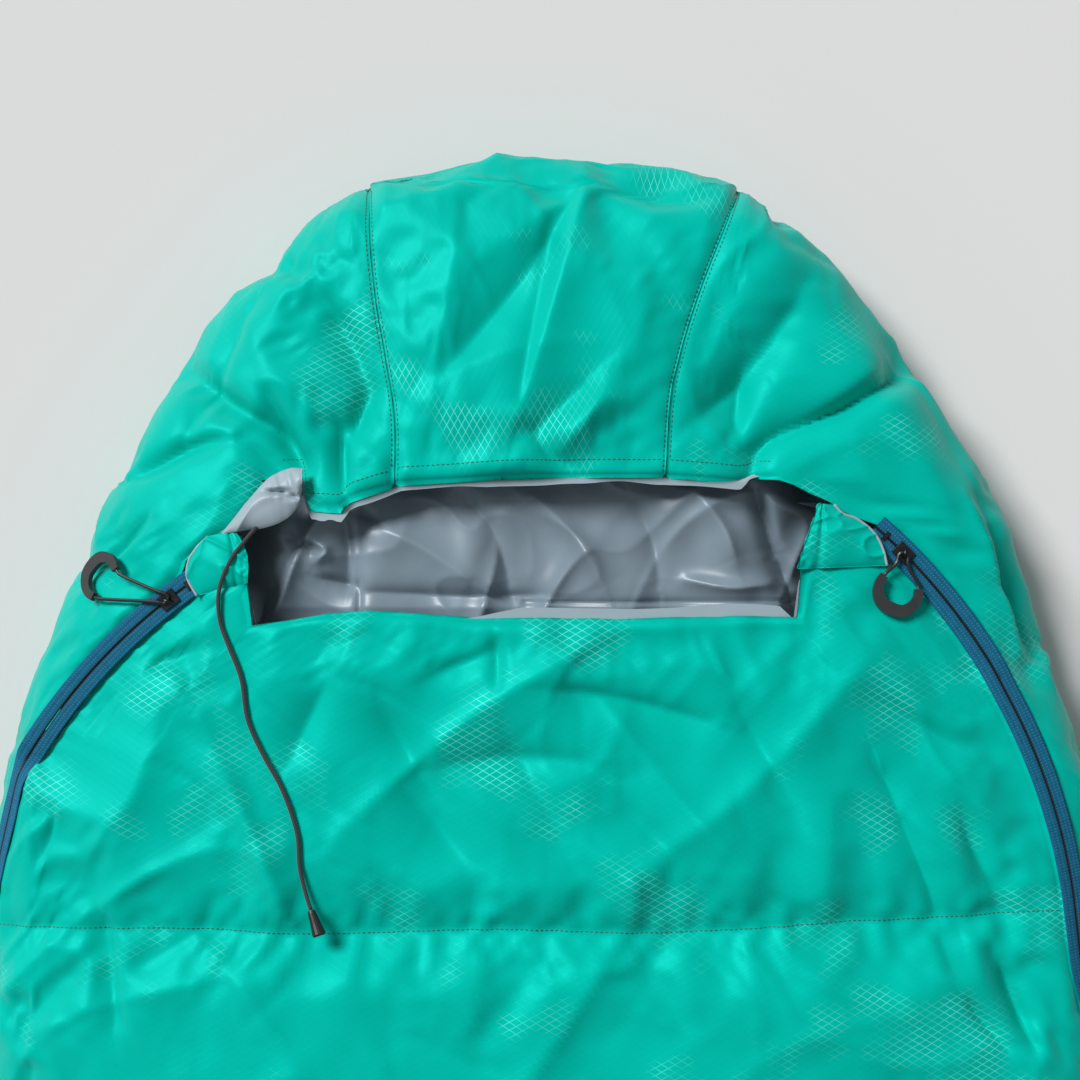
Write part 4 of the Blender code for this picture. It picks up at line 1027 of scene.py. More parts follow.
def blurred(grid, share):
    """The grid's slow drift: averages over a wide square, times share."""
    found = grid
    for axis in (0, 1):
        for _ in range(3):
            total = np.cumsum(np.pad(found, [(BLUR + 1, BLUR) if a == axis else (0, 0)
                                             for a in range(3)], mode="edge"), axis=axis)
            span = 2 * BLUR + 1
            high = np.take(total, np.arange(span, total.shape[axis]), axis=axis)
            low = np.take(total, np.arange(0, total.shape[axis] - span), axis=axis)
            found = (high - low) / span
    return found * share


def spread(values, places, count, axis):
    """Values known at some indices along an axis, read at all of them from a smooth curve."""
    values = np.moveaxis(values, axis, 0)
    slopes = np.gradient(values, places, axis=0)
    wanted = np.arange(count)
    k = np.clip(np.searchsorted(places, wanted, side="right") - 1, 0, len(places) - 2)
    size = (places[k + 1] - places[k]).astype(float)
    t = ((wanted - places[k]) / size).reshape(-1, *([1] * (values.ndim - 1)))
    size = size.reshape(t.shape)
    found = (
        (2 * t**3 - 3 * t**2 + 1) * values[k] + (t**3 - 2 * t**2 + t) * size * slopes[k]
        + (3 * t**2 - 2 * t**3) * values[k + 1] + (t**3 - t**2) * size * slopes[k + 1]
    )
    return np.moveaxis(found, 0, axis)


# --- Materials ------------------------------------------------------------------------------

def tinted(colour, share):
    """A darker or brighter shade of a colour."""
    return tuple(share * c for c in colour)


class Finish:
    """A material and short ways to add nodes to it. An input is a value or another node's socket."""

    def __init__(self, name, roughness=0.5, metallic=0.0):
        self.made = bpy.data.materials.new(name)
        self.made.use_nodes = True
        self.tree = self.made.node_tree
        self.shader = self.tree.nodes["Principled BSDF"]
        self.set("Roughness", roughness)
        self.set("Metallic", metallic)

    def feed(self, target, value):
        if isinstance(value, bpy.types.NodeSocket):
            self.tree.links.new(value, target)
        else:
            target.default_value = value

    def set(self, socket, value):
        self.feed(self.shader.inputs[socket], value)

    def node(self, kind, inputs=None, **settings):
        made = self.tree.nodes.new(kind)
        for key, value in settings.items():
            setattr(made, key, value)
        for key, value in (inputs or {}).items():
            self.feed(made.inputs[key], value)
        return made

    def math(self, operation, a, b=0.0):
        return self.node("ShaderNodeMath", {0: a, 1: b}, operation=operation).outputs[0]

    def noise(self, scale, detail=2.0, vector=None, roughness=0.5):
        inputs = {"Scale": scale, "Detail": detail, "Roughness": roughness}
        if vector is not None:
            inputs["Vector"] = vector
        return self.node("ShaderNodeTexNoise", inputs).outputs["Fac"]

    def span(self, value, low, high, out_low=0.0, out_high=1.0):
        """The value's range low to high, taken to another range."""
        inputs = {"Value": value, "From Min": low, "From Max": high,
                  "To Min": out_low, "To Max": out_high}
        return self.node("ShaderNodeMapRange", inputs).outputs[0]

    def mix(self, share, first, second):
        inputs = {0: share}
        for socket, colour in ((6, first), (7, second)):
            inputs[socket] = (*colour, 1.0) if isinstance(colour, tuple) else colour
        return self.node("ShaderNodeMix", inputs, data_type="RGBA").outputs[2]

    def chart(self):
        """The UV map's two coordinates, in metres."""
        vector = self.node("ShaderNodeUVMap", uv_map="cloth").outputs[0]
        parts = self.node("ShaderNodeSeparateXYZ", {0: vector})
        return vector, parts.outputs[0], parts.outputs[1]

    def place(self):
        return self.node("ShaderNodeTexCoord").outputs["Object"]

    def bump(self, height, strength, distance, normal=None):
        inputs = {"Height": height, "Strength": strength, "Distance": distance}
        if normal is not None:
            inputs["Normal"] = normal
        return self.node("ShaderNodeBump", inputs).outputs[0]


def shell_finish(name, size):
    """Satin ripstop with a fine printed lattice; its lines carry a painted glint, bright in patches."""
    f = Finish(name)
    vector, u, v = f.chart()
    wide, tall = size
    a, b = f.math("DIVIDE", u, wide), f.math("DIVIDE", v, tall)
    lines = []
    for operation in ("ADD", "SUBTRACT"):
        wave = f.math("PINGPONG", f.math(operation, a, b), 0.5)
        lines.append(f.span(wave, 0.022, 0.060, 1.0, 0.0))
    lattice = f.math("MAXIMUM", *lines)
    # painted glint: noise patches where the lattice lines are coloured bright cyan, standing in for highlights;
    # elsewhere the lines stay faint
    patch = f.math("MULTIPLY", f.span(f.noise(11.0, 3.0, vector), 0.55, 0.63),
                   f.span(f.noise(31.0, 2.0, vector), 0.40, 0.60, 0.25, 1.0))
    tone = f.mix(f.noise(14.0, 3.0, vector), GREEN_DEEP, GREEN)
    painted_glint = f.math("MULTIPLY", lattice, f.span(patch, 0.0, 1.0, 0.015, 0.80))
    f.set("Base Color", f.mix(painted_glint, tone, LATTICE_GLINT))
    grain = f.noise(2600.0, 2.0, vector)
    rough = f.math("ADD", f.span(grain, 0.3, 0.7, 0.38, 0.48), f.math("MULTIPLY", lattice, -0.10))
    f.set("Roughness", rough)
    f.set("Specular IOR Level", 0.36)
    f.set("Specular Tint", (0.02, 0.95, 0.85, 1.0))
    weave = f.bump(grain, 0.18, 0.0003)
    f.set("Normal", f.bump(lattice, 0.22, 0.0002, weave))
    return f.made


def satin_finish(name, colour, deep, roughness=0.34):
    """Smooth taffeta with a fine weave."""
    f = Finish(name, roughness)
    place = f.place()
    f.set("Base Color", f.mix(f.noise(22.0, 3.0, place), deep, colour))
    grain = f.noise(2200.0, 2.0, place)
    f.set("Roughness", f.span(grain, 0.3, 0.7, roughness - 0.05, roughness + 0.06))
    f.set("Sheen Weight", 0.15)
    f.set("Normal", f.bump(grain, 0.2, 0.0002))
    return f.made


def tape_finish(name):
    """Knitted zip tape, blue with lighter stitches in rows, and painted shade darkening it beside the coil at the
    middle.
    """
    f = Finish(name, 0.7)
    vector, u, v = f.chart()
    rows = f.math("PINGPONG", f.math("DIVIDE", v, 0.0022), 0.5)
    cols = f.math("PINGPONG", f.math("DIVIDE", u, 0.0031), 0.5)
    dots = f.math("MULTIPLY", f.span(rows, 0.22, 0.42), f.span(cols, 0.24, 0.42))
    tone = f.mix(f.noise(260.0, 2.0, vector), BLUE, tinted(BLUE, 2.2))
    tone = f.mix(f.math("MULTIPLY", dots, 0.65), tone, DOT_BLUE)
    # painted shade: the tape is darkened nearly to black within 2 mm of the middle, where the coil shades it
    middle = f.span(u, 0.0009, 0.0019, 1.0, 0.0)
    f.set("Base Color", f.mix(f.math("MULTIPLY", middle, 0.8), tone, BLACK))
    f.set("Specular IOR Level", 0.2)
    f.set("Normal", f.bump(dots, 0.6, 0.0004))
    return f.made


def plastic_finish(name, colour, roughness=0.42):
    """Moulded plastic with a fine grain."""
    f = Finish(name, roughness)
    place = f.place()
    f.set("Base Color", f.mix(f.noise(90.0, 3.0, place), tinted(colour, 0.8),
                              tinted(colour, 1.25)))
    grain = f.noise(1500.0, 3.0, place)
    f.set("Roughness", f.span(grain, 0.3, 0.7, roughness - 0.06, roughness + 0.08))
    f.set("Normal", f.bump(grain, 0.25, 0.0001))
    return f.made


def metal_finish(name, colour, roughness=0.35):
    """Metal with worn and dull spots."""
    f = Finish(name, roughness, 1.0)
    place = f.place()
    wear = f.noise(160.0, 4.0, place)
    f.set("Base Color", f.mix(wear, tinted(colour, 0.7), colour))
    f.set("Roughness", f.span(wear, 0.3, 0.7, roughness - 0.08, roughness + 0.1))
    return f.made


def braid_finish(name):
    """Braided cord: two sets of diagonal strands, with painted shade darkening the grooves between them."""
    f = Finish(name, 0.75)
    vector, u, v = f.chart()
    a, b = f.math("MULTIPLY", u, 4.0), f.math("DIVIDE", v, 0.0024)
    weave = f.math("MULTIPLY", f.math("PINGPONG", f.math("ADD", a, b), 0.5),
                   f.math("PINGPONG", f.math("SUBTRACT", a, b), 0.5))
    # painted shade: the grooves between the strands are black, and the strands' crowns are charcoal
    f.set("Base Color", f.mix(f.span(weave, 0.0, 0.25), BLACK, tinted(CHARCOAL, 2.4)))
    f.set("Sheen Weight", 0.3)
    f.set("Normal", f.bump(weave, 0.9, 0.0006))
    return f.made


def batting_finish(name):
    """Loose white fibre fill."""
    f = Finish(name, 0.9)
    place = f.place()
    f.set("Base Color", f.mix(f.noise(60.0, 4.0, place), (0.66, 0.66, 0.64), WHITE))
    f.set("Normal", f.bump(f.noise(300.0, 4.0, place), 0.6, 0.002))
    return f.made


def floor_finish(name):
    """Dull pale paper."""
    f = Finish(name, 0.9)
    f.set("Base Color", f.mix(f.noise(3.0, 2.0, f.place()), tinted(FLOOR, 0.995), FLOOR))
    f.set("Specular IOR Level", 0.1)
    return f.made


SHELL_WIDE = shell_finish("shell_lattice_wide", LATTICE_SIZE)
SHELL_TALL = shell_finish("shell_lattice_tall", LATTICE_SIZE[::-1])
THREAD_CLOTH = satin_finish("sewing_thread", THREAD, THREAD, 0.5)
# the lining's darker grey, 0.55 of GREY, comes in noise patches: partly random tone, partly painted shade for its
# deep folds
LINING_CLOTH = satin_finish("lining_satin", GREY, tinted(GREY, 0.55), 0.36)
TRIM_CLOTH = satin_finish("trim_satin", LIGHT_GREY, tinted(LIGHT_GREY, 0.85), 0.45)
TAPE_CLOTH = tape_finish("zip_tape_knit")
COIL_PLASTIC = plastic_finish("zip_coil_nylon", tinted(BLUE, 0.8), 0.4)
SLIDER_METAL = metal_finish("slider_black_metal", (0.06, 0.065, 0.07), 0.38)
GRIP_PLASTIC = plastic_finish("grip_plastic", CHARCOAL, 0.42)
LOCK_PLASTIC = plastic_finish("lock_plastic", BLACK, 0.4)
CORD_BRAID = braid_finish("cord_braid")
WIRE_METAL = metal_finish("spring_wire", STEEL, 0.3)
BATTING = batting_finish("batting")
WEBBING = satin_finish("webbing", CHARCOAL, BLACK, 0.7)


# --- Camera, lights and floor ---------------------------------------------------------------

KEY_FROM = (-1.0, 0.9, 1.25)
KEY_POWER = 3.42
KEY_ANGLE = 22.0
WORLD_LIGHT = 0.27
VIEW_CENTRE = (-0.0065, 0.769)
VIEW_HEIGHT = 1.90
VIEW_DISTANCE = 1.80
VIEW_WIDTH = 0.778
SENSOR = 36.0
FLOOR_HALF = 6.0


def make_camera():
    """A camera straight above the hood, as far off as the view's perspective needs."""
    data = bpy.data.cameras.new("camera")
    data.sensor_width = SENSOR
    data.lens = SENSOR * VIEW_DISTANCE / VIEW_WIDTH
    camera = bpy.data.objects.new("camera", data)
    camera.location = (*VIEW_CENTRE, VIEW_HEIGHT)
    bpy.context.scene.collection.objects.link(camera)
    bpy.context.scene.camera = camera


def make_stage():
    """A plain pale floor under soft light, mostly from the upper left."""
    sun = bpy.data.lights.new("key", "SUN")
    sun.energy = KEY_POWER
    sun.angle = math.radians(KEY_ANGLE)
    key = bpy.data.objects.new("key", sun)
    key.rotation_euler = (-Vector(KEY_FROM)).to_track_quat("-Z", "Y").to_euler()
    bpy.context.scene.collection.objects.link(key)
    world = bpy.data.worlds.new("studio")
    world.use_nodes = True
    world.node_tree.nodes["Background"].inputs[0].default_value = (1.0, 1.0, 1.0, 1.0)
    world.node_tree.nodes["Background"].inputs[1].default_value = WORLD_LIGHT
    bpy.context.scene.world = world
    bpy.context.scene.view_settings.view_transform = "Standard"
    ends = (-FLOOR_HALF, FLOOR_HALF)
    points = np.array([[(x, y, 0.0) for x in ends] for y in ends[::-1]])
    grid_mesh("floor", points, points[..., :2], floor_finish("floor_paper"))


make_camera()
make_stage()


# --- Cord -----------------------------------------------------------------------------------

def tube_mesh(name, points, radius, finish, sides=12):
    """A closed round tube along points, with UVs of turn and length."""
    points = np.asarray(points, float)
    radius = np.broadcast_to(radius, len(points))
    along = np.gradient(points, axis=0)
    along /= np.linalg.norm(along, axis=1)[:, None]
    side = np.cross(along[0], (0, 0, 1.0))
    if np.linalg.norm(side) < 0.1:
        side = np.cross(along[0], (0, 1.0, 0))
    rings, length = [], 0.0
    charts = []
    for k, point in enumerate(points):
        side = side - along[k] * side.dot(along[k])
        side /= np.linalg.norm(side)
        up = np.cross(side, along[k])
        if k:
            length += np.linalg.norm(point - points[k - 1])
        turn = np.linspace(0, 2 * math.pi, sides + 1)
        ring = point + radius[k] * (np.cos(turn)[:, None] * side + np.sin(turn)[:, None] * up)
        rings.append(ring)
        charts.append(np.stack([turn / (2 * math.pi), np.full(sides + 1, length)], axis=1))
    ends = [np.repeat(points[:1], sides + 1, axis=0), np.repeat(points[-1:], sides + 1, axis=0)]
    grid = np.stack([ends[0]] + rings + [ends[1]])
    chart = np.stack([charts[0]] + charts + [charts[-1]])
    made = grid_mesh(name, grid[:, ::-1], chart[:, ::-1], finish)
    work = bmesh.new()
    work.from_mesh(made.data)
    bmesh.ops.remove_doubles(work, verts=work.verts, dist=1e-6)
    bmesh.ops.dissolve_degenerate(work, dist=1e-7, edges=work.edges)
    bmesh.ops.recalc_face_normals(work, faces=work.faces)
    work.to_mesh(made.data)
    work.free()
    return made


def drawcord():
    """The free tail of the hood's drawcord, from its lock to its moulded end."""
    exit_z = float(top_point(*CORD_EXIT, -CORD_DEPTH)[2])
    first = [(CORD_EXIT[0], CORD_EXIT[1] + EYELET_HALF, exit_z), (*LOCK, exit_z),
             (LOCK[0], LOCK[1] - LOCK_DEEP / 2, exit_z)]
    tail = [top_point(x, y, CORD_LIFT + lift) for x, y, lift in TAIL]
    tail[0] = (TAIL[0][0], TAIL[0][1], exit_z)
    tail[1] = (TAIL[1][0], TAIL[1][1], exit_z + 0.001)
    route = smooth_line(first + tail, 150)
    made = tube_mesh("drawcord", route, CORD / 2, CORD_BRAID)
    sewn_to_bag(made, "black_cord", "drawcord_tail")
    add_obstacle(route - np.array([0, 0, CORD / 2]))
    add_obstacle(node_points("cord_end"))


def tunnel_cord():
    """The drawcord's hidden run round the hood, deep in its tunnel under the folds."""
    points = node_points("hood_drawcord")
    low, high = points.min(0), points.max(0)
    x = np.linspace(low[0] + CORD, high[0] - CORD, 60)
    y = np.full(60, (low[1] + high[1]) / 2)
    line = top_point(x, y, -TUNNEL_DROP)
    made = tube_mesh("tunnel_cord", line, CORD / 2, CORD_BRAID)
    sewn_to_bag(made, "black_cord", "hood_drawcord")


drawcord()
tunnel_cord()
for _side in ZIPS:
    add_runner(_side)


# --- Shell ----------------------------------------------------------------------------------

def fine_heights(top, foot):
    """Y values from top to foot, closely set where the fabric is seen close up."""
    fine_end = max(FINE_TO, foot)
    values = []
    if top > fine_end:
        values.append(np.linspace(top, fine_end, max(int((top - fine_end) / FINE), 2)))
    if foot < FINE_TO:
        start = min(top, FINE_TO)
        values.append(np.linspace(start, foot, max(int((start - foot) / COARSE), 2)))
    return np.unique(np.concatenate(values))[::-1]


def bend(x, points):
    """Y along a line given by X, Y pairs."""
    pairs = np.array(points)
    return np.interp(x, pairs[:, 0], pairs[:, 1])


def opening_corner(name, side, heights, station, at_seam, floor):
    """The place of the face opening's side edge at each height, then of the zip below it."""
    y = heights[:, None]
    edge = LEFT_EDGE if name == "left" else RIGHT_EDGE
    line = np.array(edge)
    x_line = np.interp(heights, line[::-1, 0], line[::-1, 1])[:, None]
    x_line = x_line * np.clip((CROWN_Y - y) / (CROWN_Y - HOOD_EDGE) * 1.3 + 0.1, 0, 1)
    beside = np.clip((edge[-1][0] - y) / OPENING_BLEND, 0, 1)
    zip_side = LINES[name].panel_edge(y, side * ZIP_SHOWN)
    corner = around_at(x_line, y) * (1 - beside) + zip_side * beside
    room = side * (floor - at_seam)
    low, high = CORNER_ROOM
    held = side * at_seam + np.clip(side * (corner - at_seam), low * room, high * room)
    return np.where(y > HOOD_EDGE, side * held, corner)


def side_places(name, side):
    """The grid of a side cover: its places, and the row and column of the opening's corner."""
    top_y = SEAM_TOP[1] - SEAM_HALF
    hood_rows = int((top_y - HOOD_EDGE) / FINE)
    heights = np.concatenate([np.linspace(top_y, HOOD_EDGE, hood_rows)[:-1],
                              fine_heights(HOOD_EDGE, FOOT_SEAM + EDGE_GAP)])
    row = int(np.argmin(np.abs(heights - HOOD_EDGE)))
    y = heights[:, None]
    station = station_at(y)
    floor = side * floor_seam(station)
    seam = LEFT_SEAM if name == "left" else RIGHT_SEAM
    at_seam = seam_place(seam, station) + side * seam_gap(station) * SEAM_CLOSED
    corner = opening_corner(name, side, heights, station, at_seam, floor)
    on_hood = y >= HOOD_EDGE - 1e-6
    inner = np.where(on_hood, at_seam, at_seam[row])
    around = np.hstack([inner + (corner - inner) * np.linspace(0, 1, HOOD_COLUMNS)[None],
                        corner + (floor - corner) * np.linspace(0, 1, SIDE_COLUMNS)[None, 1:]])
    x = np.interp(station, STATION, PLAN[:, 0]) * np.sin(around * math.pi / 2)
    pulled = (bend(x, HOOD_LIP) - HOOD_EDGE) * np.exp(-np.abs(y - HOOD_EDGE) / PULL_REACH)
    pulled = pulled * (np.arange(around.shape[1]) < HOOD_COLUMNS)[None] * on_hood
    moved = station_at(y + pulled)
    around = np.where(pulled != 0, around_at(x, y + pulled), around)
    if side > 0:
        return moved, around, row, HOOD_COLUMNS - 1
    return moved[:, ::-1], around[:, ::-1], row, around.shape[1] - HOOD_COLUMNS


def side_cover(name, side):
    """One piece of fabric from the hood's seam at the crown down to the foot."""
    moved, around, row, col = side_places(name, side)
    number = np.arange(len(moved))[:, None]
    inward = -side * (np.arange(moved.shape[1])[None] - col)

    def from_seam(across):
        return across if side > 0 else across[:, -1:] - across

    def relief(base, across, along, u):
        from_zip = np.abs(across - across[:, col:col + 1])
        from_floor = across[:, -1:] - from_seam(across)
        below = np.clip((number - row) / CORNER_ROWS, 0, 1)
        beside = bell(from_zip, RISE_WIDTH)
        seam_lift = edge_relief(from_seam(across), along, 60, HOOD_DIP)
        zip_lift = edge_relief(from_zip, along, 62, ZIP_DIP) + LINES[name].rise(base[..., 1]) * beside
        to_lip = np.maximum(along[row:row + 1] - along, 0)
        lift = seam_lift * (1 - below) + zip_lift * below
        lift += rolled(to_lip, HOOD_ROLL) * np.clip(inward / CORNER_COLUMNS, 0, 1) * (number <= row)
        quilt = quilt_relief(u, base[..., 1]) * np.where(below > 0, 1 - beside, 1)
        return lift + quilt + edge_relief(from_floor, along, 61)

    def threads(across, along, u, v):
        beside_seam = np.where(number < row - 2, from_seam(across) - SEAM_STITCH, np.nan)
        tunnel = np.where((number <= row) & (inward > 0),
                          along[row:row + 1] - along - TUNNEL_DEPTH, np.nan)
        return [*quilt_threads(u, v), (beside_seam, 1), (tunnel, 0)]

    cover(f"side_cover_{name}", moved, around, SHELL_WIDE,
          [f"side_shell_{name}", f"side_insulation_{name}", f"hood_shell_{name}"],
          relief, cut=(row, col, side), threads=threads)


def hood_cover():
    """The hood's middle panel, between its two seams, from the crown's floor seam to the lip."""
    stations = np.concatenate([
        np.linspace(POLE, 0.6, 14)[:-1],
        station_at(np.linspace(PLAN[7, 1], HOOD_EDGE, int((PLAN[7, 1] - HOOD_EDGE) / FINE))),
    ])
    stations = np.unique(stations)[:, None]
    gap = seam_gap(stations) * SEAM_CLOSED
    start, end = seam_place(LEFT_SEAM, stations) + gap, seam_place(RIGHT_SEAM, stations) - gap
    around = start + (end - start) * np.linspace(0, 1, 110)[None]
    y = np.interp(stations, STATION, PLAN[:, 1])
    x = np.interp(stations, STATION, PLAN[:, 0]) * np.sin(around * math.pi / 2)
    pulled = (bend(x, HOOD_LIP) - HOOD_EDGE) * np.exp(-np.maximum(y - HOOD_EDGE, 0) / PULL_REACH)
    pulled *= np.clip(1.6 - np.abs(around) * 2, 0, 1)
    moved = station_at(y + pulled)
    new_around = np.where(np.abs(around) < 0.8, around_at(x, y + pulled), around)

    def relief(base, across, along, u):
        lift = edge_relief(across, along, 60, HOOD_DIP)
        lift += edge_relief(across[:, -1:] - across, along, 60, HOOD_DIP)
        return lift + rolled(along[-1:] - along, HOOD_ROLL)

    def threads(across, along, u, v):
        return [(across - SEAM_STITCH, 1), (across[:, -1:] - across - SEAM_STITCH, 1),
                (along[-1:] - along - TUNNEL_DEPTH, 0)]

    cover("hood_cover", moved, new_around, SHELL_TALL,
          ["hood_shell_centre", "hood_insulation"], relief, threads=threads)


def lip_shares():
    """Shares of the way along the chest's lip, set closer at the opening's two corners."""
    even = np.linspace(0, 1, 400)
    closeness = 1 + sum(2 * bell(even - corner, 0.02) for corner in (0.107, 0.875))
    total = np.concatenate([[0], np.cumsum((closeness[1:] + closeness[:-1]) / 2)])
    return np.interp(np.linspace(0, 1, FRONT_COLUMNS), total / total[-1], even)


def front_cover():
    """The front panel, between the two zips, from the chest's lip to the foot's seam."""
    lip = np.array(LIP)
    dense = lip_shares()
    top_x = lip[0, 0] + (lip[-1, 0] - lip[0, 0]) * dense
    heights = fine_heights(LIP_TOP, FOOT_SEAM + EDGE_GAP)[:, None]
    near_lip = np.clip(1 - (LIP_TOP - heights) / LIP_REACH, 0, 1) ** 2
    y = heights + (bend(top_x, LIP)[None] - LIP_TOP) * near_lip
    start = LINES["left"].panel_edge(y, ZIP_SHOWN)
    end = LINES["right"].panel_edge(y, -ZIP_SHOWN)
    around = start + (end - start) * dense[None]
    cut = around_at(top_x, y[0])
    cut[[0, -1]] = around[0, [0, -1]]
    fall = (LIP_TOP - heights) / (LIP_TOP - FOOT_SEAM - 0.001)
    around = around + (cut - around[0])[None] * np.clip(1 - fall / CUT_REACH, 0, 1)

    def relief(base, across, along, u):
        x, y = base[..., 0], base[..., 1]
        from_zips = {"left": across, "right": across[:, -1:] - across}
        lift = quilt_relief(u, y) * (1 - bell(np.minimum(*from_zips.values()), RISE_WIDTH))
        for seed, (name, away) in enumerate(from_zips.items(), 63):
            lift += edge_relief(away, y, seed, ZIP_DIP)
            lift += LINES[name].rise(y) * bell(away, RISE_WIDTH)
        under_face = np.clip(1 - np.abs(x / FACE_HALF) ** 10, 0, 1)
        gathers = GATHER * lattice_noise(x, along * 0.25, GATHER_PITCH, 65)
        return lift + (rolled(along, CHEST_ROLL) + gathers * np.exp(-along / 0.035)) * under_face

    def threads(across, along, u, v):
        return quilt_threads(u, v)

    cover("front_cover", station_at(y), around, SHELL_WIDE, ["front_shell", "front_insulation"],
          relief, threads=threads)


def foot_cover():
    """The foot's closed end, below the foot's seam."""
    stations = np.linspace(station_at(FOOT_SEAM) + 0.001, len(OUTLINE) - 1 - POLE, 40)[:, None]
    around = floor_seam(stations) * np.linspace(-1, 1, 90)[None]

    def relief(base, across, along, u):
        lift = edge_relief(across, along, 80) + edge_relief(across[:, -1:] - across, along, 81)
        return lift + edge_relief(along, base[..., 0], 82)

    cover("foot_cover", stations, around, SHELL_WIDE, ["foot_shell", "foot_insulation"], relief)


def bottom_cover():
    """The underside, inside the floor seam. It lies flat, so it isn't settled."""
    stations = np.concatenate([
        np.linspace(POLE, 0.6, 10)[:-1], station_at(np.arange(PLAN[7, 1], FOOT_SEAM, -COARSE)),
        np.linspace(station_at(FOOT_SEAM), len(OUTLINE) - 1 - POLE, 20),
    ])
    stations = np.unique(stations)[:, None]
    start = FLOOR_AROUND + seam_gap(stations)
    around = start + (4 - 2 * start) * np.linspace(0, 1, 80)[None]

    def relief(base, across, along, u):
        lift = edge_relief(across, along, 83) + edge_relief(across[:, -1:] - across, along, 84)
        return (lift - BOTTOM_DROP) * 0.6

    cover("bottom_cover", stations, around, SHELL_WIDE, ["bottom_shell", "back_insulation"],
          relief, settled=False)


side_cover("left", -1)
side_cover("right", 1)
hood_cover()
front_cover()
foot_cover()
bottom_cover()


# --- Round the face opening -----------------------------------------------------------------

# Heights on the neck tabs: the whole tab, its elastic's ribs, the channel of the elastic, the
# puff of the fill, creases, and how far the lower end is tucked in
TAB_LIFT, TAB_RIB, TAB_CHANNEL = 0.0026, 0.0011, 0.0016
TAB_PUFF, TAB_CREASE, TAB_TUCK = 0.0035, 0.0020, 0.0028
PIPING = 0.0009
PIPING_LIFT = 0.0030

# Heights on the turned-out facing, and its two folds: X, Y, half sizes, lean and depth
FACING_LIFT, FACING_PUFF, FACING_GATHER, FACING_CREASE = 0.0020, 0.0055, 0.0040, 0.0026
FACING_FOLDS = [
    (-0.1945, 0.8035, 0.008, 0.0020, 0.0, 0.0085), (-0.1815, 0.8003, 0.006, 0.0016, 0.2, 0.0060),
]


def neck_tabs():
    """Small green flaps over the zips' top ends, gathered at their inner edge, and piped."""
    for name, side in (("left", -1), ("right", 1)):
        outer, inner = TAB_OUTER[name], TAB_INNER[name]

        def lift(x, y, up, over, side=side):
            ribs = TAB_RIB * lattice_noise(y, over * 0.05, 0.0032, 90) * np.clip(over * 5 - 3.9, 0, 1)
            channel = -TAB_CHANNEL * bell(over - 0.78, 0.05)
            puff = TAB_PUFF * np.sin(math.pi * up) * np.sin(math.pi * over * 0.9)
            lines = TAB_CREASE * creases(x, y, 0.011, 0.5 * side, 2.0, 91)
            return TAB_LIFT + ribs + channel + puff + lines - TAB_TUCK * np.exp(-up / 0.07)

        patch(f"neck_tab_{name}", outer, inner, SHELL_WIDE, f"{name}_neck_tab", lift,
              "shell_fabric")
        route = smooth_line(outer, 40)
        line = np.stack([top_point(x, y, PIPING_LIFT) for x, y in route])
        piping = tube_mesh(f"tab_piping_{name}", line, PIPING, TRIM_CLOTH)
        sewn_to_bag(piping, "grey_trim", f"{name}_tab_piping")


def turned_facing():
    """The light facing turned out over the drawcord's lock."""
    def lift(x, y, down, over):
        puff = FACING_PUFF * np.sin(math.pi * np.clip(over, 0, 1)) ** 0.7 * np.clip(down * 4, 0, 1)
        lift = FACING_LIFT + puff + FACING_CREASE * creases(x, y, 0.016, 0.7, 2.5, 92)
        for fold_x, fold_y, half_x, half_y, lean, depth in FACING_FOLDS:
            off_line = y - fold_y + lean * (x - fold_x)
            lift -= depth * bell(x - fold_x, half_x) * bell(off_line, half_y)
        gather = FACING_GATHER * lattice_noise(x + 0.3 * y, y * 0.12, 0.0040, 89)
        shown = np.clip((x + 0.200) / 0.010, 0, 1) * np.clip((y - 0.794) / 0.006, 0.25, 1)
        return lift + gather * shown

    patch("turned_facing", FLAP_UPPER, FLAP_LOWER, TRIM_CLOTH, "hood_facing", lift, "grey_trim")


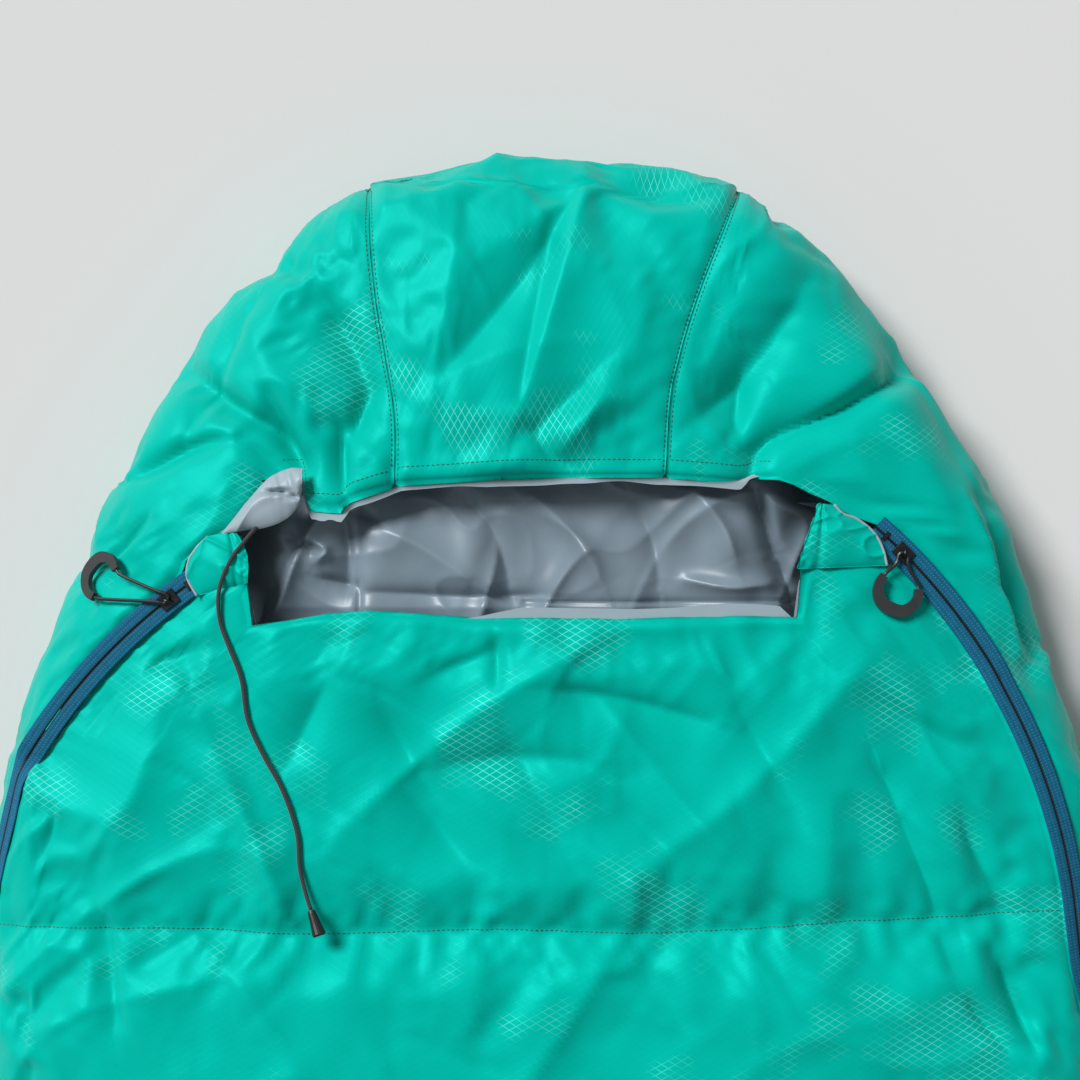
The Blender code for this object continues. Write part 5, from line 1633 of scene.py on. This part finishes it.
# The slack lining: height of its sides and of its middle above them, its seams' depths and
# places, swells, creases as in BROAD_CREASES, and how much deeper than listed its folds are
LINING_HEIGHT, LINING_RISE = 0.052, 0.028
LINING_SEAM, LINING_SEAM_X = 0.004, -0.138
LINING_CROSS, LINING_CROSS_Y = 0.003, 0.7235
LINING_SWELL = 0.007
LINING_CREASES = [(0.040, 1.1, 2.6, 96, 0.010), (0.026, -0.5, 2.4, 88, 0.002)]
LINING_GAIN = 2.3
LINING_TUCK = 0.0012  # the lining's edge lies this far behind the shell's
LINING_REACH = 0.028  # the lining comes up to the shell over this length
LINING_LEFT = [(-0.236, 0.842), (-0.236, 0.780), (-0.236, 0.740), (-0.236, 0.672)]
LINING_RIGHT = [(0.205, 0.842), (0.205, 0.780), (0.205, 0.740), (0.205, 0.672)]
LINING_FOLDS = [
    ([(-0.190, 0.772), (-0.180, 0.767), (-0.170, 0.765)], -6, 4, 6),
    ([(-0.176, 0.770), (-0.162, 0.762), (-0.168, 0.754)], 4, 4, 5),
    ([(-0.150, 0.790), (-0.146, 0.765), (-0.146, 0.735)], -5, 6, 8),
    ([(-0.162, 0.741), (-0.140, 0.735)], -4, 4, 6),
    ([(-0.140, 0.790), (-0.125, 0.782)], -5, 4, 6),
    ([(-0.136, 0.784), (-0.095, 0.765), (-0.060, 0.742)], 4, 10, 14),
    ([(-0.060, 0.800), (-0.040, 0.775), (-0.030, 0.740)], -5, 8, 12),
    ([(-0.010, 0.800), (0.020, 0.770), (0.040, 0.735)], 5, 10, 14),
    ([(0.060, 0.800), (0.075, 0.770), (0.080, 0.740)], -4, 8, 12),
    ([(0.105, 0.805), (0.125, 0.780), (0.135, 0.755)], 5, 8, 10),
    ([(0.150, 0.805), (0.158, 0.780), (0.164, 0.760)], -8, 4, 6),
    ([(0.165, 0.760), (0.172, 0.745), (0.176, 0.730)], -7, 6, 8),
    ([(0.100, 0.740), (0.130, 0.735), (0.160, 0.737)], 4, 5, 6),
    ([(-0.130, 0.731), (-0.060, 0.728), (0.0, 0.729)], -3, 5, 7),
]


def inner_lining():
    """The satin lining seen through the face opening: it sags between the hood and the chest."""
    plan = lofted(LINING_LEFT, LINING_RIGHT, 110, 240)
    x, y = plan[..., 0], plan[..., 1]
    ends = np.clip(np.minimum(x + 0.232, 0.201 - x) / 0.045, 0, 1)
    ends = ends * ends * (3 - 2 * ends)
    foot = np.clip((y - 0.680) / 0.040, 0, 1)
    sag = LINING_RISE * ends * (0.35 + 0.65 * foot) - 0.006 * np.clip((y - 0.80) / 0.03, 0, 1)
    z = LINING_HEIGHT + sag + LINING_GAIN * relief_of(LINING_FOLDS, x, y)
    z -= LINING_SEAM * np.exp(-np.abs(x - LINING_SEAM_X) / 0.0025)
    z -= LINING_CROSS * np.exp(-np.abs(y - LINING_CROSS_Y - 0.004 * x) / 0.002) * (x > -0.02)
    z += LINING_SWELL * lattice_noise(x, y, 0.05, 95)
    for pitch, turn, stretch, seed, height in LINING_CREASES:
        z += height * creases(x, y, pitch, turn, stretch, seed)
    points = np.stack([x, y, z], axis=-1)
    made = grid_mesh("inner_lining", points, plan, LINING_CLOTH)
    sewn_to_bag(made, "lining_fabric")


def lining_sheet(name, station, around, finish, nodes, up):
    """Soft lining LINING_DEPTH inside the shell; up, from 0 to 1, brings it up to the shell."""
    station, around = np.broadcast_arrays(station, around)
    base = surface(station, around)
    normals = grid_normals(base)
    u, v = girth(station, around), base[..., 1]
    waves = 0.003 * lattice_noise(u, v, 0.05, 97) + 0.002 * creases(u, v, 0.03, 0.4, 2.0, 98)
    inset = LINING_DEPTH * (1 - up) + LIP_ROLL * up
    points = base - normals * (inset - waves * (1 - up))[..., None]
    made = grid_mesh(name, points, np.stack([u, v], axis=-1), finish)
    sewn_to_bag(made, "lining_fabric", *nodes)


def raised(distance, reach):
    """1 at an edge, falling to 0 at reach, along a quarter circle."""
    share = np.clip(1 - distance / reach, 0, 1)
    return 1 - np.sqrt(1 - share**2)


def face_linings():
    """The lining under the hood's edge and under the chest's lip, rolled up to both.

    A band of it shows beyond each edge, and it is as wide as band at each X.
    """
    xs = np.linspace(-0.215, 0.185, 130)[None]
    away = np.concatenate([np.linspace(0, 0.03, 14)[:-1], np.linspace(0.03, 0.16, 16)])[:, None]
    band = np.clip(np.minimum(xs + 0.186, 0.145 - xs) / 0.006, 0, 1)
    band = band * (0.0045 + 0.0020 * lattice_noise(xs, xs * 0, 0.03, 94))
    beside = np.clip((-0.138 - xs) / 0.01, 0, 1)
    band += beside * (0.0030 + 0.0014 * lattice_noise(xs, xs * 0, 0.006, 87))
    y = bend(xs, HOOD_LIP) + LINING_TUCK - band + away
    lining_sheet("hood_lining_cover", station_at(y)[::-1], around_at(xs, y)[::-1], TRIM_CLOTH,
                 ["hood_lining", "hood_edge_binding"],
                 raised(away - band - 0.003, LINING_REACH)[::-1])
    band = np.clip((xs + 0.06) / 0.04, 0, 1) * np.clip((0.176 - xs) / 0.01, 0, 1)
    band = band * (0.0085 + 0.0030 * lattice_noise(xs, xs * 0, 0.05, 93))
    y = bend(xs, LIP) - LINING_TUCK + band - away
    lining_sheet("chest_lining_cover", station_at(y), around_at(xs, y), TRIM_CLOTH,
                 ["front_lining", "chest_lip_binding"],
                 raised(away - band - 0.004, LINING_REACH))


neck_tabs()
turned_facing()
inner_lining()
face_linings()


# --- Zips -----------------------------------------------------------------------------------

TAPE_NEAR, TAPE_FAR = 0.0003, 0.0098  # a tape's edges, from the zip's middle line
TAPE_THICK = 0.0008
TAPE_LIFT = 0.0012


def strip_mesh(name, points, normals, near, far, thick, finish):
    """A flat band beside a line: a top grid with its edges turned down."""
    along = np.gradient(points, axis=0)
    across = np.cross(along, normals)
    across /= np.linalg.norm(across, axis=1)[:, None]
    places = [near, near, *np.linspace(near, far, 6)[1:-1], far, far]
    drops = [-thick, *([0.0] * (len(places) - 2)), -thick]
    length = running_length(points[:, None], 0)[:, 0]
    rows = np.stack([points + across * p + normals * d for p, d in zip(places, drops)], axis=1)
    chart = np.stack([np.stack([np.full(len(points), abs(p)), length], axis=1)
                      for p in places], axis=1)
    return grid_mesh(name, rows, chart, finish)


def zips():
    """The two knitted tapes of each zip. Their coils, sliders and stops are the frame's own."""
    for name, line in LINES.items():
        points = catmull_rom(line.points, 6)
        normals = catmull_rom(line.normals, 6)
        normals /= np.linalg.norm(normals, axis=1)[:, None]
        for part, way in (("outer", line.side), ("inner", -line.side)):
            near, far = sorted((TAPE_NEAR * way, TAPE_FAR * way))
            made = strip_mesh(f"{name}_tape_{part}", points + normals * TAPE_LIFT, normals,
                              near, far, TAPE_THICK, TAPE_CLOTH)
            sewn_to_bag(made, "zip_tape", f"{name}_zip_tape_{part}")


zips()


# --- Finishes of the frame's own pieces -----------------------------------------------------

NODE_FINISH = {
    "shell_fabric": SHELL_WIDE, "lining_fabric": LINING_CLOTH, "insulation_fill": BATTING,
    "zip_tape": TAPE_CLOTH, "zip_coil": COIL_PLASTIC, "grey_trim": TRIM_CLOTH,
    "black_metal": SLIDER_METAL, "black_cord": LOCK_PLASTIC, "black_plastic": LOCK_PLASTIC,
    "grip_plastic": GRIP_PLASTIC, "spring_steel": WIRE_METAL,
}


def finish_nodes():
    """Gives every CAD node the material of its slot."""
    slots = {part["node"]: part["material_slot"] for part in frame["record"]["subparts"]}
    for name, node in frame["nodes"].items():
        for slot in node.material_slots:
            slot.material = NODE_FINISH[slots[name]]


finish_nodes()
